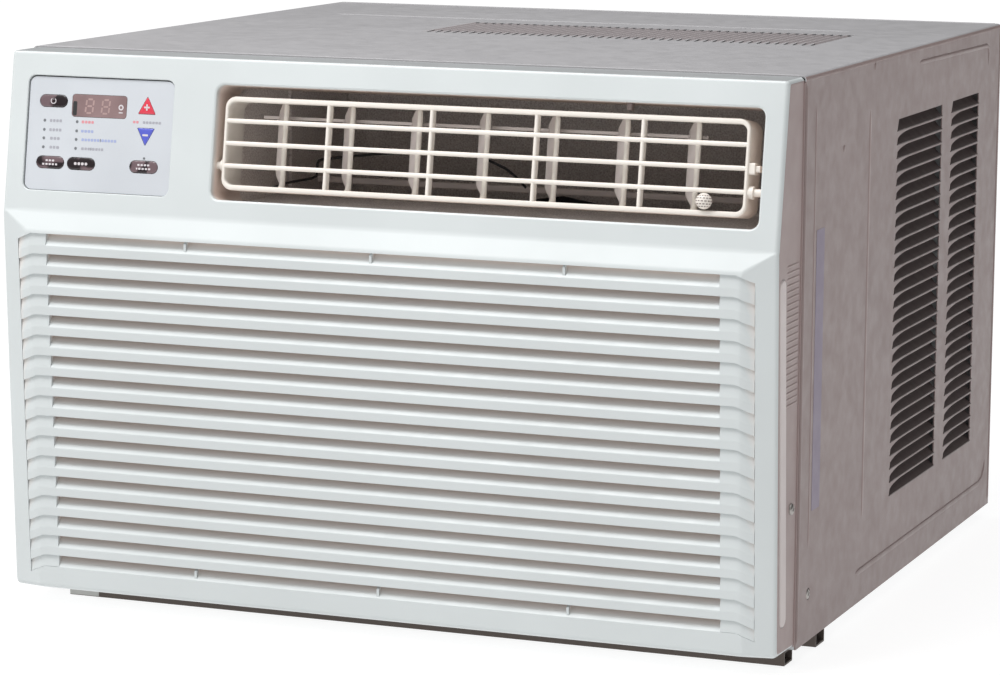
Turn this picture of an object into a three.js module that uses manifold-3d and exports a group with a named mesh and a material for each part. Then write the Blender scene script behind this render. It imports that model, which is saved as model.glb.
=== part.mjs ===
// Window air conditioner, built as the separate pieces that come apart on a bench.
// Millimetres. +X is the right-hand side seen from the room, -Y the room side, +Z up.
// Pieces are drawn from the cabinet's front edge (y = 0) and the sill (z = 0);
// one group then centres the whole unit on its bounding box.
import * as THREE from 'three';
import { mergeVertices } from 'three/addons/utils/BufferGeometryUtils.js';
import Module from 'manifold-3d';

const wasm = await Module();
wasm.setup();

// ---- Driving dimensions -------------------------------------------------------------
const GAP = 0.3;
const RAIL_HEIGHT = 12;
const CABINET = { width: 660, depth: 610, height: 445, sheet: 1 };
const HALF = CABINET.width / 2;
const TOP = RAIL_HEIGHT + CABINET.height;
const FLOOR = RAIL_HEIGHT + 1.5;

const PANEL = { half: 328.5, wall: 3, back: -GAP, top: TOP - 1.5, bottom: 14 };
const LIP = { y: -38, z: PANEL.top };
const CREASE = { y: -57.5, z: 332 };
const BULGE = { y: -67, z: 313 };
const TOE = { y: -50, z: 15 };

const OUTLET = { left: -143, right: 311, bottom: 13.2, top: 104.3, corner: 7 };
const OVERLAY = { left: -310.4, right: -180.5, bottom: 13.6, top: 105.1, corner: 6, face: 1.5, back: 4 };
const INTAKE = { half: 312.5, bottom: 10, top: 299.2, slotHalf: 285, slotBottom: 18.6, slotTop: 296.9 };

const LOUVER = {
  left: -137, right: 299, bottom: 21.6, top: 95.9, face: 5, depth: 30, wall: 3, corner: 9,
  bars: 3, barThick: 3.4, barDepth: 7, ribs: 4, ribThick: 3, ribDepth: 11,
};
const VANE = { count: 7, pitch: 57.2, ahead: 5.4, behind: 14, thick: 2.6, pivotDepth: 14, angle: 42 };
const TIE = { reach: 12, size: 2.4, end: 14, peg: 1 };

const BLADE = { count: 16, lip: 7, depth: 9, thick: 2.2 };
const GRILLE_RIB = { positions: [-160.5, 0, 160.5], half: 1.2, front: 4 };
const FILTER = {
  left: -300, right: 322, bottom: 22, top: 290, front: 18.5, back: 22.5, border: 8, columns: 10, rows: 4,
};
const HANDLE = { front: 13, back: 27.8, bottom: 21, top: 291, right: 329.3 };

const SHAFT = { x: 60, z: 222, radius: 6, front: 104, back: 512 };
const SIDE_VENT = { rows: 28, bottom: 85, top: 400, open: 0.795, lean: 7 };
const SIDE_VENT_COLUMNS = [[262, 406], [438, 533]];
const TOP_VENT = { slots: 45, left: -105, right: 250, front: 286, back: 412, open: 0.55 };

// Segments: per quarter turn of a rounded corner (halved), round a rod, and round a large drum.
const ARC = 2;
const ROUND = 12;
const DRUM = 24;

// ---- Materials ----------------------------------------------------------------------
function finish(color, roughness, metalness = 0) {
  return new THREE.MeshStandardMaterial({ color, roughness, metalness });
}

const PAINT = finish(0xa9a4a3, 0.45, 0.1);
const PANEL_WHITE = finish(0xe4e8e8, 0.4);
const CREAM = finish(0xeae4da, 0.45);
const MEMBRANE = finish(0xd9dbe0, 0.15);
const KEY_DARK = finish(0x2a2123, 0.25);
const KEY_RED = finish(0xd03a48, 0.25);
const KEY_BLUE = finish(0x4450b8, 0.25);
const SMOKE = finish(0x7c6262, 0.1);
const BOARD = finish(0x2f5a3a, 0.6);
const STEEL = finish(0xb4b6b8, 0.4, 0.9);
const RAIL_STEEL = finish(0x4a423f, 0.6, 0.5);
const FIN = finish(0xc3c6c9, 0.35, 0.9);
const COPPER = finish(0xb06a3c, 0.3, 1);
const BLACK = finish(0x1d1d1f, 0.55);
const FOAM = finish(0x4a4240, 0.95);
const RUBBER = finish(0x222222, 0.9);
const NETTING = finish(0xb9b4ae, 0.9);

// ---- Shape helpers ------------------------------------------------------------------
function solid(geometry) {
  const bare = geometry.clone();
  bare.deleteAttribute('normal');
  bare.deleteAttribute('uv');
  const merged = mergeVertices(bare, 1e-4);
  return new wasm.Manifold(new wasm.Mesh({
    numProp: 3,
    vertProperties: new Float32Array(merged.attributes.position.array),
    triVerts: new Uint32Array(merged.index.array),
  }));
}

function block(x0, x1, y0, y1, z0, z1) {
  const geometry = new THREE.BoxGeometry(x1 - x0, y1 - y0, z1 - z0);
  return solid(geometry.translate((x0 + x1) / 2, (y0 + y1) / 2, (z0 + z1) / 2));
}

// Extrudes a shape between two positions along an axis. Along X the shape is drawn in (y, z),
// along Y in (x, z) and along Z in (x, y).
function extrude(shape, axis, from, to, arc = ARC) {
  const geometry = new THREE.ExtrudeGeometry(shape, {
    depth: to - from, bevelEnabled: false, curveSegments: arc,
  });
  const [X, Y, Z] = [new THREE.Vector3(1, 0, 0), new THREE.Vector3(0, 1, 0), new THREE.Vector3(0, 0, 1)];
  const turn = new THREE.Matrix4();
  if (axis === 'x') turn.makeBasis(Y, Z, X).setPosition(from, 0, 0);
  if (axis === 'y') turn.makeBasis(X, Z, Y.negate()).setPosition(0, to, 0);
  if (axis === 'z') turn.setPosition(0, 0, from);
  return solid(geometry.applyMatrix4(turn));
}

function outline(points) {
  return new THREE.Shape(points.map(([a, b]) => new THREE.Vector2(a, b)));
}

function roundedRect(x0, x1, z0, z1, r) {
  const shape = new THREE.Shape();
  shape.moveTo(x0 + r, z0);
  shape.lineTo(x1 - r, z0);
  shape.absarc(x1 - r, z0 + r, r, -Math.PI / 2, 0);
  shape.lineTo(x1, z1 - r);
  shape.absarc(x1 - r, z1 - r, r, 0, Math.PI / 2);
  shape.lineTo(x0 + r, z1);
  shape.absarc(x0 + r, z1 - r, r, Math.PI / 2, Math.PI);
  shape.lineTo(x0, z0 + r);
  shape.absarc(x0 + r, z0 + r, r, Math.PI, Math.PI * 1.5);
  return shape;
}

function rod(axis, at, from, to, radius, sides = ROUND) {
  const geometry = new THREE.CylinderGeometry(radius, radius, to - from, sides);
  const middle = (from + to) / 2;
  if (axis === 'x') geometry.rotateZ(-Math.PI / 2).translate(middle, at[0], at[1]);
  if (axis === 'y') geometry.translate(at[0], middle, at[1]);
  if (axis === 'z') geometry.rotateX(Math.PI / 2).translate(at[0], at[1], middle);
  return solid(geometry);
}

function tube(points, radius, steps = 16) {
  const section = new THREE.Shape();
  section.absarc(0, 0, radius, 0, Math.PI * 2);
  const path = new THREE.CatmullRomCurve3(points.map((p) => new THREE.Vector3(...p)));
  const geometry = new THREE.ExtrudeGeometry(section, {
    extrudePath: path, steps, curveSegments: 4,
  });
  return solid(geometry);
}

// A solid of revolution about a vertical line, from (radius, z) points that start and end on it.
function turned(points, x, y, sides) {
  const geometry = new THREE.LatheGeometry(points.map(([r, z]) => new THREE.Vector2(r, z)), sides);
  return solid(geometry.rotateX(Math.PI / 2).translate(x, y, 0));
}

function union(parts) {
  return parts.reduce((whole, part) => whole.add(part));
}

function placed(manifold, matrix) {
  return manifold.transform(matrix.elements);
}

const unit = new THREE.Group();
const cabinetFrame = new THREE.Group();
cabinetFrame.position.y = -(BULGE.y + CABINET.depth) / 2;
unit.add(cabinetFrame);

// The two tilted faces of the front panel. In each frame x runs across, y is the depth behind
// the face and z the distance up the face.
function faceFrame(bottom, top) {
  const group = new THREE.Group();
  group.position.set(0, bottom.y, bottom.z);
  group.rotation.x = -Math.atan2(top.y - bottom.y, top.z - bottom.z);
  group.updateMatrix();
  cabinetFrame.add(group);
  return group;
}
const upperFace = faceFrame(CREASE, LIP);
const lowerFace = faceFrame(TOE, BULGE);

function piece(name, manifold, material, parent = cabinetFrame) {
  const { vertProperties, triVerts } = manifold.getMesh();
  const geometry = new THREE.BufferGeometry();
  geometry.setAttribute('position', new THREE.BufferAttribute(new Float32Array(vertProperties), 3));
  geometry.setIndex(new THREE.BufferAttribute(new Uint32Array(triVerts), 1));
  geometry.computeVertexNormals();
  const mesh = new THREE.Mesh(geometry, material);
  mesh.name = name;
  parent.add(mesh);
  return mesh;
}

// ---- Cabinet ------------------------------------------------------------------------
const SCREW = { headRadius: 4.5, shank: 1.9, hole: 2.3, length: 10 };
const CABINET_SCREW = { y: 31, z: 50, seat: HALF - CABINET.sheet - GAP, head: HALF, dimple: 5 };
const PANEL_SCREW = { y: -15, z: 126, seat: PANEL.half, head: PANEL.half + 2.7 };
const CORD_HOLE = { y: -20, z: 60, radius: 7.3, flange: PANEL_SCREW.head };

function cabinetTop() {
  const pitch = (TOP_VENT.right - TOP_VENT.left) / TOP_VENT.slots;
  const slots = [];
  for (let i = 0; i < TOP_VENT.slots; i += 1) {
    const x = TOP_VENT.left + i * pitch;
    slots.push(block(x, x + pitch * TOP_VENT.open, TOP_VENT.front, TOP_VENT.back, TOP - 5, TOP + 5));
  }
  return block(-HALF, HALF, 0, CABINET.depth, TOP - CABINET.sheet, TOP).subtract(union(slots));
}

// Each slot in a side is a louvre: its blade starts at the slot's lower lip and leans inward,
// so that rain runs off and nothing passes straight through.
function cabinetSide(side) {
  const pitch = (SIDE_VENT.top - SIDE_VENT.bottom) / (SIDE_VENT.rows - 1 + SIDE_VENT.open);
  const slot = pitch * SIDE_VENT.open;
  const [inside, outside] = [HALF - CABINET.sheet, HALF];
  const cuts = [rod('x', [CABINET_SCREW.y, CABINET_SCREW.z], inside - 1, outside + 1, CABINET_SCREW.dimple)];
  const blades = [];
  for (const [front, back] of SIDE_VENT_COLUMNS) {
    for (let i = 0; i < SIDE_VENT.rows; i += 1) {
      const z = SIDE_VENT.bottom + i * pitch;
      cuts.push(block(inside - 1, outside + 1, front, back, z, z + slot));
      blades.push(extrude(outline([
        [inside - SIDE_VENT.lean, z + slot - 1],
        [inside, z - 1],
        [outside, z - 1],
        [outside, z],
        [inside - SIDE_VENT.lean + 1, z + slot],
        [inside - SIDE_VENT.lean, z + slot],
      ]), 'y', front, back));
    }
  }
  const sheet = block(inside, outside, 0, CABINET.depth, RAIL_HEIGHT, TOP - CABINET.sheet - GAP)
    .subtract(union(cuts))
    .add(union(blades));
  return side > 0 ? sheet : sheet.mirror([1, 0, 0]);
}

function basePan() {
  const half = HALF - CABINET.sheet - GAP;
  const back = CABINET.depth - 3;
  const sheet = 1.2;
  const sideFlange = 62;
  const endFlange = 30;
  const tray = block(-half, half, GAP, back, RAIL_HEIGHT, sideFlange)
    .subtract(block(-half + sheet, half - sheet, GAP + sheet, back - sheet, FLOOR, sideFlange + 1))
    .subtract(block(-half + sheet, half - sheet, -1, back + 1, endFlange, sideFlange + 1));
  return tray.subtract(rod('x', [CABINET_SCREW.y, CABINET_SCREW.z], -HALF, HALF, SCREW.hole, 8));
}

const REAR_OPENING = { left: -272, right: 297, bottom: 46, top: 430 };

function rearFrame() {
  const half = HALF - CABINET.sheet - GAP;
  const back = CABINET.depth - 0.2;
  const front = back - 1.5;
  const o = REAR_OPENING;
  return block(-half, half, front, back, RAIL_HEIGHT + 1.8, TOP - CABINET.sheet - GAP)
    .subtract(block(o.left, o.right, front - 1, back + 1, o.bottom, o.top));
}

const RAILS = {
  front_rail: { left: -299, right: 323, front: -6, back: 15 },
  middle_rail: { left: -328, right: 328, front: 62, back: 85 },
  rear_rail: { left: -295, right: 295, front: 556, back: 578 },
};

function rail({ left, right, front, back }) {
  const wall = 1.5;
  const top = RAIL_HEIGHT - GAP;
  return block(left, right, front, back, 0, top)
    .subtract(block(left - 1, right + 1, front + wall, back - wall, wall, top - wall));
}

function screw(side, at) {
  const head = rod('x', [at.y, at.z], at.seat + GAP, at.head, SCREW.headRadius);
  const shank = rod('x', [at.y, at.z], at.seat - SCREW.length, at.seat + 0.5, SCREW.shank, 8);
  const whole = head.add(shank);
  return side > 0 ? whole : whole.mirror([1, 0, 0]);
}

piece('cabinet_top', cabinetTop(), PAINT);
piece('cabinet_right_side', cabinetSide(1), PAINT);
piece('cabinet_left_side', cabinetSide(-1), PAINT);
piece('base_pan', basePan(), STEEL);
piece('rear_frame', rearFrame(), PAINT);
for (const [name, shape] of Object.entries(RAILS)) piece(name, rail(shape), RAIL_STEEL);
for (const [side, label] of [[1, 'right'], [-1, 'left']]) {
  piece(`cabinet_screw_${label}`, screw(side, CABINET_SCREW), STEEL);
  piece(`panel_screw_${label}`, screw(side, PANEL_SCREW), STEEL);
}

// ---- Front panel and intake grille ----------------------------------------------------
const PIVOT = { height: LOUVER.bottom + 19.3, depth: LOUVER.face + 6, radius: 3, hole: 3.4 };

function panelProfile(inset) {
  return outline([
    [PANEL.back + inset, PANEL.top - inset],
    [LIP.y + inset, LIP.z - inset],
    [CREASE.y + inset, CREASE.z],
    [BULGE.y + inset, BULGE.z],
    [TOE.y + inset, TOE.z + inset],
    [TOE.y + 3 + inset, PANEL.bottom + inset],
    [PANEL.back + inset, PANEL.bottom + inset],
  ]);
}

function frontPanel() {
  const outer = extrude(panelProfile(0), 'x', -PANEL.half, PANEL.half);
  const innerHalf = PANEL.half - PANEL.wall;
  const shell = outer
    .subtract(extrude(panelProfile(PANEL.wall), 'x', -innerHalf, innerHalf))
    .subtract(block(-innerHalf, innerHalf, -8, 2, PANEL.bottom + PANEL.wall, PANEL.top - PANEL.wall));

  const o = OUTLET;
  const w = PANEL.wall;
  const sleeveShape = roundedRect(o.left - w, o.right + w, o.bottom - w, o.top + w, o.corner + w);
  const openingShape = roundedRect(o.left, o.right, o.bottom, o.top, o.corner);
  const behindPanel = block(-HALF, HALF, PANEL.back - PANEL.wall, CABINET.depth, 0, TOP);
  const sleeve = placed(extrude(sleeveShape, 'y', 0.2, 70), upperFace.matrix)
    .subtract(behindPanel)
    .intersect(outer);
  const opening = placed(extrude(openingShape, 'y', -20, 90), upperFace.matrix);
  const c = OVERLAY;
  const controlShape = roundedRect(c.left - GAP, c.right + GAP, c.bottom - GAP, c.top + GAP, c.corner);
  const controlWindow = placed(extrude(controlShape, 'y', -5, 12), upperFace.matrix);
  const intake = placed(
    block(-INTAKE.half, INTAKE.half, -5, 12, INTAKE.bottom, INTAKE.top), lowerFace.matrix);
  const h = HANDLE;
  const filterSlot = placed(
    block(innerHalf - 1, PANEL.half + 1, h.front - 0.5, h.back + 0.5, h.bottom - 0.8, h.top + 0.8),
    lowerFace.matrix);
  const pivotHoles = placed(
    rod('x', [PIVOT.depth, PIVOT.height], o.left - w - 1, o.right + w + 1, PIVOT.hole, 8),
    upperFace.matrix);

  return shell.add(sleeve)
    .subtract(opening)
    .subtract(controlWindow)
    .subtract(intake)
    .subtract(filterSlot)
    .subtract(pivotHoles)
    .subtract(rod('x', [PANEL_SCREW.y, PANEL_SCREW.z], -HALF, HALF, SCREW.hole, 8))
    .subtract(rod('x', [CORD_HOLE.y, CORD_HOLE.z], -HALF, -300, CORD_HOLE.radius));
}

function intakeGrille() {
  const half = INTAKE.half - GAP;
  const bottom = INTAKE.bottom + GAP;
  const top = INTAKE.top - GAP;
  const { slotBottom, slotTop } = INTAKE;
  const pitch = (slotTop - slotBottom + BLADE.lip) / (BLADE.count + 1);
  const reach = INTAKE.slotHalf + 1;
  const border = block(-half, half, 0, BLADE.depth, bottom, top)
    .subtract(block(-INTAKE.slotHalf, INTAKE.slotHalf, -1, BLADE.depth + 1, slotBottom, slotTop));
  const parts = [border];
  for (let i = 0; i <= BLADE.count; i += 1) {
    const lipTop = slotBottom + i * pitch;
    const heel = lipTop - (i === 0 ? BLADE.thick : BLADE.lip);
    const rise = pitch - BLADE.lip - 0.6;
    const section = outline([
      [0, heel],
      [BLADE.thick, heel],
      [BLADE.thick, lipTop - 0.4],
      [BLADE.depth, lipTop + rise - BLADE.thick],
      [BLADE.depth, lipTop + rise],
      [0, lipTop],
    ]);
    parts.push(extrude(section, 'x', -reach, reach));
  }
  const rib = GRILLE_RIB;
  for (const x of rib.positions) {
    parts.push(block(x - rib.half, x + rib.half, rib.front, BLADE.depth, slotBottom - 2, slotTop + 1));
  }
  return union(parts);
}

function cordGland() {
  const at = [CORD_HOLE.y, CORD_HOLE.z];
  return rod('x', at, -CORD_HOLE.flange, -PANEL.half - GAP, 10)
    .add(rod('x', at, -PANEL.half - 1, -PANEL.half + 12, 7))
    .subtract(rod('x', at, -HALF - 5, -300, 4.2, 8));
}

piece('front_panel', frontPanel(), PANEL_WHITE);
piece('intake_grille', intakeGrille(), CREAM, lowerFace);
piece('cord_gland', cordGland(), RUBBER);

// ---- Slide-out air filter -------------------------------------------------------------
function filterFrame() {
  const f = FILTER;
  const inner = [f.left + f.border, f.right - f.border, f.bottom + f.border, f.top - f.border];
  const ring = block(f.left, f.right, f.front, f.back, f.bottom, f.top)
    .subtract(block(inner[0], inner[1], f.front - 1, f.back + 1, inner[2], inner[3]));
  const ribs = [];
  for (let i = 1; i < f.columns; i += 1) {
    const x = inner[0] + (i * (inner[1] - inner[0])) / f.columns;
    ribs.push(block(x - 1, x + 1, f.back - 1.3, f.back, inner[2] - 1, inner[3] + 1));
  }
  for (let i = 1; i < f.rows; i += 1) {
    const z = inner[2] + (i * (inner[3] - inner[2])) / f.rows;
    ribs.push(block(inner[0] - 1, inner[1] + 1, f.back - 1.3, f.back, z - 1, z + 1));
  }
  const gripShape = roundedRect(HANDLE.front, HANDLE.back, HANDLE.bottom, HANDLE.top, 6);
  const grip = extrude(gripShape, 'x', f.right - 1, HANDLE.right);
  return union([ring, ...ribs, grip]);
}

function filterMesh() {
  const f = FILTER;
  const edge = f.border + GAP;
  return block(f.left + edge, f.right - edge, f.front + 1.2, f.front + 2.2, f.bottom + edge, f.top - edge);
}

piece('filter_frame', filterFrame(), CREAM, lowerFace);
piece('filter_mesh', filterMesh(), NETTING, lowerFace);

// ---- Control panel ----------------------------------------------------------------------
const PILL = { width: 25, height: 9.8 };
const ARROW = { width: 15.2, height: 13.8 };
const WINDOW = { left: -271.3, right: -222.3, bottom: 73.8, top: 91.8, corner: 2.5 };
const KEY = { face: 1.3, back: 4.6, flange: 1.2, flangeFront: 4.3, flangeBack: 5.6 };
const KEYS = [
  { name: 'power_button', kind: 'pill', x: -288.3, z: 85.6, material: KEY_DARK },
  { name: 'fan_speed_button', kind: 'pill', x: -288.3, z: 36, material: KEY_DARK },
  { name: 'mode_button', kind: 'pill', x: -260.3, z: 36, material: KEY_DARK },
  { name: 'timer_button', kind: 'pill', x: -204, z: 36, material: KEY_DARK },
  { name: 'temperature_up_button', kind: 'up', x: -204, z: 85.2, material: KEY_RED },
  { name: 'temperature_down_button', kind: 'down', x: -204, z: 60, material: KEY_BLUE },
];

function keyShape(key, grow) {
  if (key.kind === 'pill') {
    const w = PILL.width / 2 + grow;
    const h = PILL.height / 2 + grow;
    return roundedRect(key.x - w, key.x + w, key.z - h, key.z + h, h - 0.01);
  }
  const way = key.kind === 'up' ? 1 : -1;
  const half = ARROW.width / 2 + grow * 1.6;
  const tall = ARROW.height / 2;
  const corners = [
    [key.x - half, key.z - way * (tall + grow)],
    [key.x + half, key.z - way * (tall + grow)],
    [key.x, key.z + way * (tall + grow * 2)],
  ];
  return outline(way > 0 ? corners : corners.reverse());
}

function controlOverlay() {
  const c = OVERLAY;
  let plate = extrude(roundedRect(c.left, c.right, c.bottom, c.top, c.corner), 'y', c.face, c.back);
  for (const key of KEYS) plate = plate.subtract(extrude(keyShape(key, 0.35), 'y', 0, 6, 1));
  const w = WINDOW;
  const windowShape = roundedRect(w.left - GAP, w.right + GAP, w.bottom - GAP, w.top + GAP, w.corner);
  return plate.subtract(extrude(windowShape, 'y', 0, 6, 1));
}

function displayWindow() {
  const w = WINDOW;
  const shape = roundedRect(w.left, w.right, w.bottom, w.top, w.corner);
  return extrude(shape, 'y', OVERLAY.face - 0.1, OVERLAY.back, 1);
}

function keyCap(key) {
  return extrude(keyShape(key, 0), 'y', KEY.face, KEY.back, 1)
    .add(extrude(keyShape(key, KEY.flange), 'y', KEY.flangeFront, KEY.flangeBack, 1));
}

piece('control_overlay', controlOverlay(), MEMBRANE, upperFace);
piece('display_window', displayWindow(), SMOKE, upperFace);
const MODULE = block(WINDOW.left + 1.3, WINDOW.right - 1.7, 4.4, 7.7, WINDOW.bottom + 1.2, WINDOW.top - 0.8);
const BOARD_PLATE = block(
  OVERLAY.left + 4.4, OVERLAY.right - 4.5, 8, 9.6, OVERLAY.bottom + 4.4, OVERLAY.top - 5.1);
piece('display_module', MODULE, BLACK, upperFace);
piece('control_board', BOARD_PLATE, BOARD, upperFace);
for (const key of KEYS) piece(key.name, keyCap(key), key.material, upperFace);

const CONTROL_BOX = { left: -322, right: -160, front: 6, back: 86, bottom: 345, top: 452, sheet: 1.2 };
const CAPACITOR = { y: 45, z: 385, left: -300, right: -222, radius: 22 };

// An open-fronted box of folded sheet.
function controlBox() {
  const b = CONTROL_BOX;
  const s = b.sheet;
  return block(b.left, b.right, b.front, b.back, b.bottom, b.top)
    .subtract(block(b.left + s, b.right - s, 0, b.back - s, b.bottom + s, b.top - s));
}

function runCapacitor() {
  const c = CAPACITOR;
  return rod('x', [c.y, c.z], c.left, c.right, c.radius);
}
piece('control_box', controlBox(), STEEL);
piece('run_capacitor', runCapacitor(), FIN);

// ---- Swivelling air outlet ----------------------------------------------------------------
const LOUVER_BACK = LOUVER.face + LOUVER.depth;
const VANE_MIDDLE = (LOUVER.left + LOUVER.right) / 2;
const VANE_DEPTH = LOUVER.face + VANE.pivotDepth;
const VANE_PIN = { radius: 1.6, hole: 2, bury: 1.8 };
const KNOB = { radius: 6.2, reach: 20, height: LOUVER.bottom + 11, stemStart: 5.2 };
const TIE_HEIGHT = LOUVER.top - 14.4;

function vaneX(i) {
  return VANE_MIDDLE + (i - (VANE.count + 1) / 2) * VANE.pitch;
}

function louverFrame() {
  const f = LOUVER;
  const w = f.wall;
  const ringShape = roundedRect(f.left, f.right, f.bottom, f.top, f.corner);
  ringShape.holes.push(roundedRect(f.left + w, f.right - w, f.bottom + w, f.top - w, f.corner - w));
  const parts = [extrude(ringShape, 'y', f.face, LOUVER_BACK)];
  const barPitch = (f.top - f.bottom - w) / (f.bars + 1);
  const barHalf = f.barThick / 2;
  for (let i = 1; i <= f.bars; i += 1) {
    const z = f.bottom + w / 2 + i * barPitch;
    parts.push(block(f.left + 1, f.right - 1, f.face, f.face + f.barDepth, z - barHalf, z + barHalf));
  }
  const cell = (f.right - f.left - w) / (f.ribs + 1);
  const ribHalf = f.ribThick / 2;
  for (let i = 1; i <= f.ribs; i += 1) {
    const x = f.left + w / 2 + i * cell;
    parts.push(block(x - ribHalf, x + ribHalf, f.face + 0.5, f.face + f.ribDepth, f.bottom + 1, f.top - 1));
  }
  parts.push(rod('x', [PIVOT.depth, PIVOT.height], OUTLET.left - 2, f.left + 1, PIVOT.radius, 8));
  parts.push(rod('x', [PIVOT.depth, PIVOT.height], f.right - 1, OUTLET.right + 2, PIVOT.radius, 8));
  const lugHeight = PIVOT.height + barPitch;
  parts.push(block(f.right - 1, f.right + 8, PIVOT.depth - 3, PIVOT.depth + 3,
    lugHeight - 2.5, lugHeight + 2.5));
  let frame = union(parts);
  for (let i = 1; i <= VANE.count; i += 1) {
    const at = [vaneX(i), VANE_DEPTH];
    frame = frame
      .subtract(rod('z', at, f.bottom + w - VANE_PIN.bury - GAP, f.bottom + w + 1, VANE_PIN.hole, 6))
      .subtract(rod('z', at, f.top - w - 1, f.top - w + VANE_PIN.bury + GAP, VANE_PIN.hole, 6));
  }
  return frame;
}

// A vane is drawn straight about its own pivot line and then turned; the tab at its back
// edge carries the hole for the tie bar's peg.
function vane(i) {
  const low = LOUVER.bottom + LOUVER.wall;
  const high = LOUVER.top - LOUVER.wall;
  const t = VANE.thick / 2;
  const side = outline([
    [-2, low + 0.6],
    [2, low + 0.6],
    [1.8, low + 5],
    [VANE.behind, low + 14],
    [VANE.behind, high - 7],
    [6, high - 0.6],
    [-4, high - 0.6],
    [-VANE.ahead, high - 3],
    [-VANE.ahead, low + 12],
    [-1.8, low + 5],
  ]);
  const tabTop = TIE_HEIGHT - TIE.size / 2 - GAP;
  const blade = extrude(side, 'x', -t, t)
    .subtract(block(-5, 5, TIE.reach - 3, TIE.reach + 5, tabTop, tabTop + TIE.size + 3 * GAP))
    .add(block(-2.6, 2.6, TIE.reach - 3.2, TIE.reach + 3, tabTop - 1.8, tabTop))
    .subtract(rod('z', [0, TIE.reach], tabTop - 3, tabTop + 1, 1.6, 6))
    .add(rod('z', [0, 0], low - VANE_PIN.bury, low + 2, VANE_PIN.radius, 6))
    .add(rod('z', [0, 0], high - 2, high + VANE_PIN.bury, VANE_PIN.radius, 6));
  return turnedVane(blade, i);
}

function tieBar() {
  const turn = THREE.MathUtils.degToRad(VANE.angle);
  const dx = -TIE.reach * Math.sin(turn);
  const depth = VANE_DEPTH + TIE.reach * Math.cos(turn);
  const s = TIE.size / 2;
  const parts = [
    block(vaneX(1) + dx - TIE.end, vaneX(VANE.count) + dx + TIE.end,
      depth - s, depth + s, TIE_HEIGHT - s, TIE_HEIGHT + s),
  ];
  for (let i = 1; i <= VANE.count; i += 1) {
    parts.push(rod('z', [vaneX(i) + dx, depth], TIE_HEIGHT - s - 2.2, TIE_HEIGHT, TIE.peg, 6));
  }
  return union(parts);
}

function turnedVane(manifold, i) {
  const turn = new THREE.Matrix4()
    .makeRotationZ(THREE.MathUtils.degToRad(VANE.angle))
    .setPosition(vaneX(i), VANE_DEPTH, 0);
  return placed(manifold, turn);
}

// The knob stands on a short stem from the front edge of the last vane, between the lowest
// bar and the frame.
function vaneKnob() {
  const k = KNOB;
  const ball = new THREE.SphereGeometry(k.radius, 10, 6).rotateX(Math.PI / 2);
  const knob = solid(ball.translate(0, -k.reach, k.height))
    .add(block(-1.2, 1.2, -k.reach, -k.stemStart, k.height - 2, k.height + 2));
  return turnedVane(knob, VANE.count);
}

piece('louver_frame', louverFrame(), CREAM, upperFace);
for (let i = 1; i <= VANE.count; i += 1) piece(`vane_${i}`, vane(i), CREAM, upperFace);
piece('tie_bar', tieBar(), CREAM, upperFace);
piece('vane_knob', vaneKnob(), CREAM, upperFace);

// ---- Room-side air path -------------------------------------------------------------------
const SHAFT_AT = [SHAFT.x, SHAFT.z];
const DUCT = { left: -143, right: 311, bottom: 336, top: 432, front: 0.5, back: 91.5, wall: 3 };
const SCROLL = { front: 92, back: 210, radius: 153, inlet: 95, boxBottom: 297, mouthBottom: 338, wall: 3 };
const WHEEL = { front: 101, back: 200, radius: 108, inner: 92, hub: 16, blades: 20, lean: 20 };
const EVAPORATOR = { half: 285, front: 18, back: 58, bottom: 24, top: 328 };
const DRAIN_PAN = { half: 300, front: 10, back: 88, bottom: FLOOR + GAP, top: 33, wall: 4 };
const HEATER = { left: -50, right: 170, front: 64, back: 84, bottom: 112, top: 325, border: 8, rods: 4 };

function dischargeDuct() {
  const d = DUCT;
  const w = d.wall;
  return block(d.left - w, d.right + w, d.front, d.back, d.bottom - w, d.top + w)
    .subtract(block(d.left, d.right, d.front - 1, d.back + 1, d.bottom, d.top));
}

function blowerScroll() {
  const s = SCROLL;
  const w = s.wall;
  const boxTop = DUCT.top - 1;
  const outer = rod('y', SHAFT_AT, s.front, s.back, s.radius, DRUM)
    .add(block(DUCT.left, DUCT.right, s.front, s.back, s.boxBottom, boxTop + w));
  const inner = rod('y', SHAFT_AT, s.front + w, s.back - w, s.radius - w, DRUM)
    .add(block(DUCT.left + w, DUCT.right - w, s.front + w, s.back - w, s.boxBottom + w, boxTop));
  return outer.subtract(inner)
    .subtract(rod('y', SHAFT_AT, s.front - 2, s.front + w + 1, s.inlet, DRUM))
    .subtract(block(DUCT.left + w, DUCT.right - w, s.front - 2, s.front + w + 1, s.mouthBottom, boxTop))
    .subtract(rod('y', SHAFT_AT, s.back - w - 1, s.back + 2, SHAFT.radius * 2));
}

function blowerWheel() {
  const w = WHEEL;
  const plate = 4;
  const disc = rod('y', SHAFT_AT, w.back - plate, w.back, w.radius, w.blades);
  const ring = rod('y', SHAFT_AT, w.front, w.front + plate, w.radius, w.blades)
    .subtract(rod('y', SHAFT_AT, w.front - 1, w.front + plate + 1, w.inner, w.blades));
  const hub = rod('y', SHAFT_AT, w.back - 24, w.back - 2, w.hub);
  const section = block(w.inner + 0.5, w.radius - 1, w.front + plate - 1, w.back - plate + 1, -0.9, 0.9)
    .rotate([0, -w.lean, 0])
    .translate([6, 0, -34]);
  const parts = [disc, ring, hub];
  for (let i = 0; i < w.blades; i += 1) {
    const blade = section.rotate([0, (i * 360) / w.blades, 0]);
    parts.push(blade.translate([SHAFT.x, 0, SHAFT.z]));
  }
  const sweep = rod('y', SHAFT_AT, w.front - 1, w.back + 1, w.radius, w.blades);
  return union(parts)
    .intersect(sweep)
    .subtract(rod('y', SHAFT_AT, w.back - 30, w.back + 5, SHAFT.radius + GAP));
}

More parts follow.
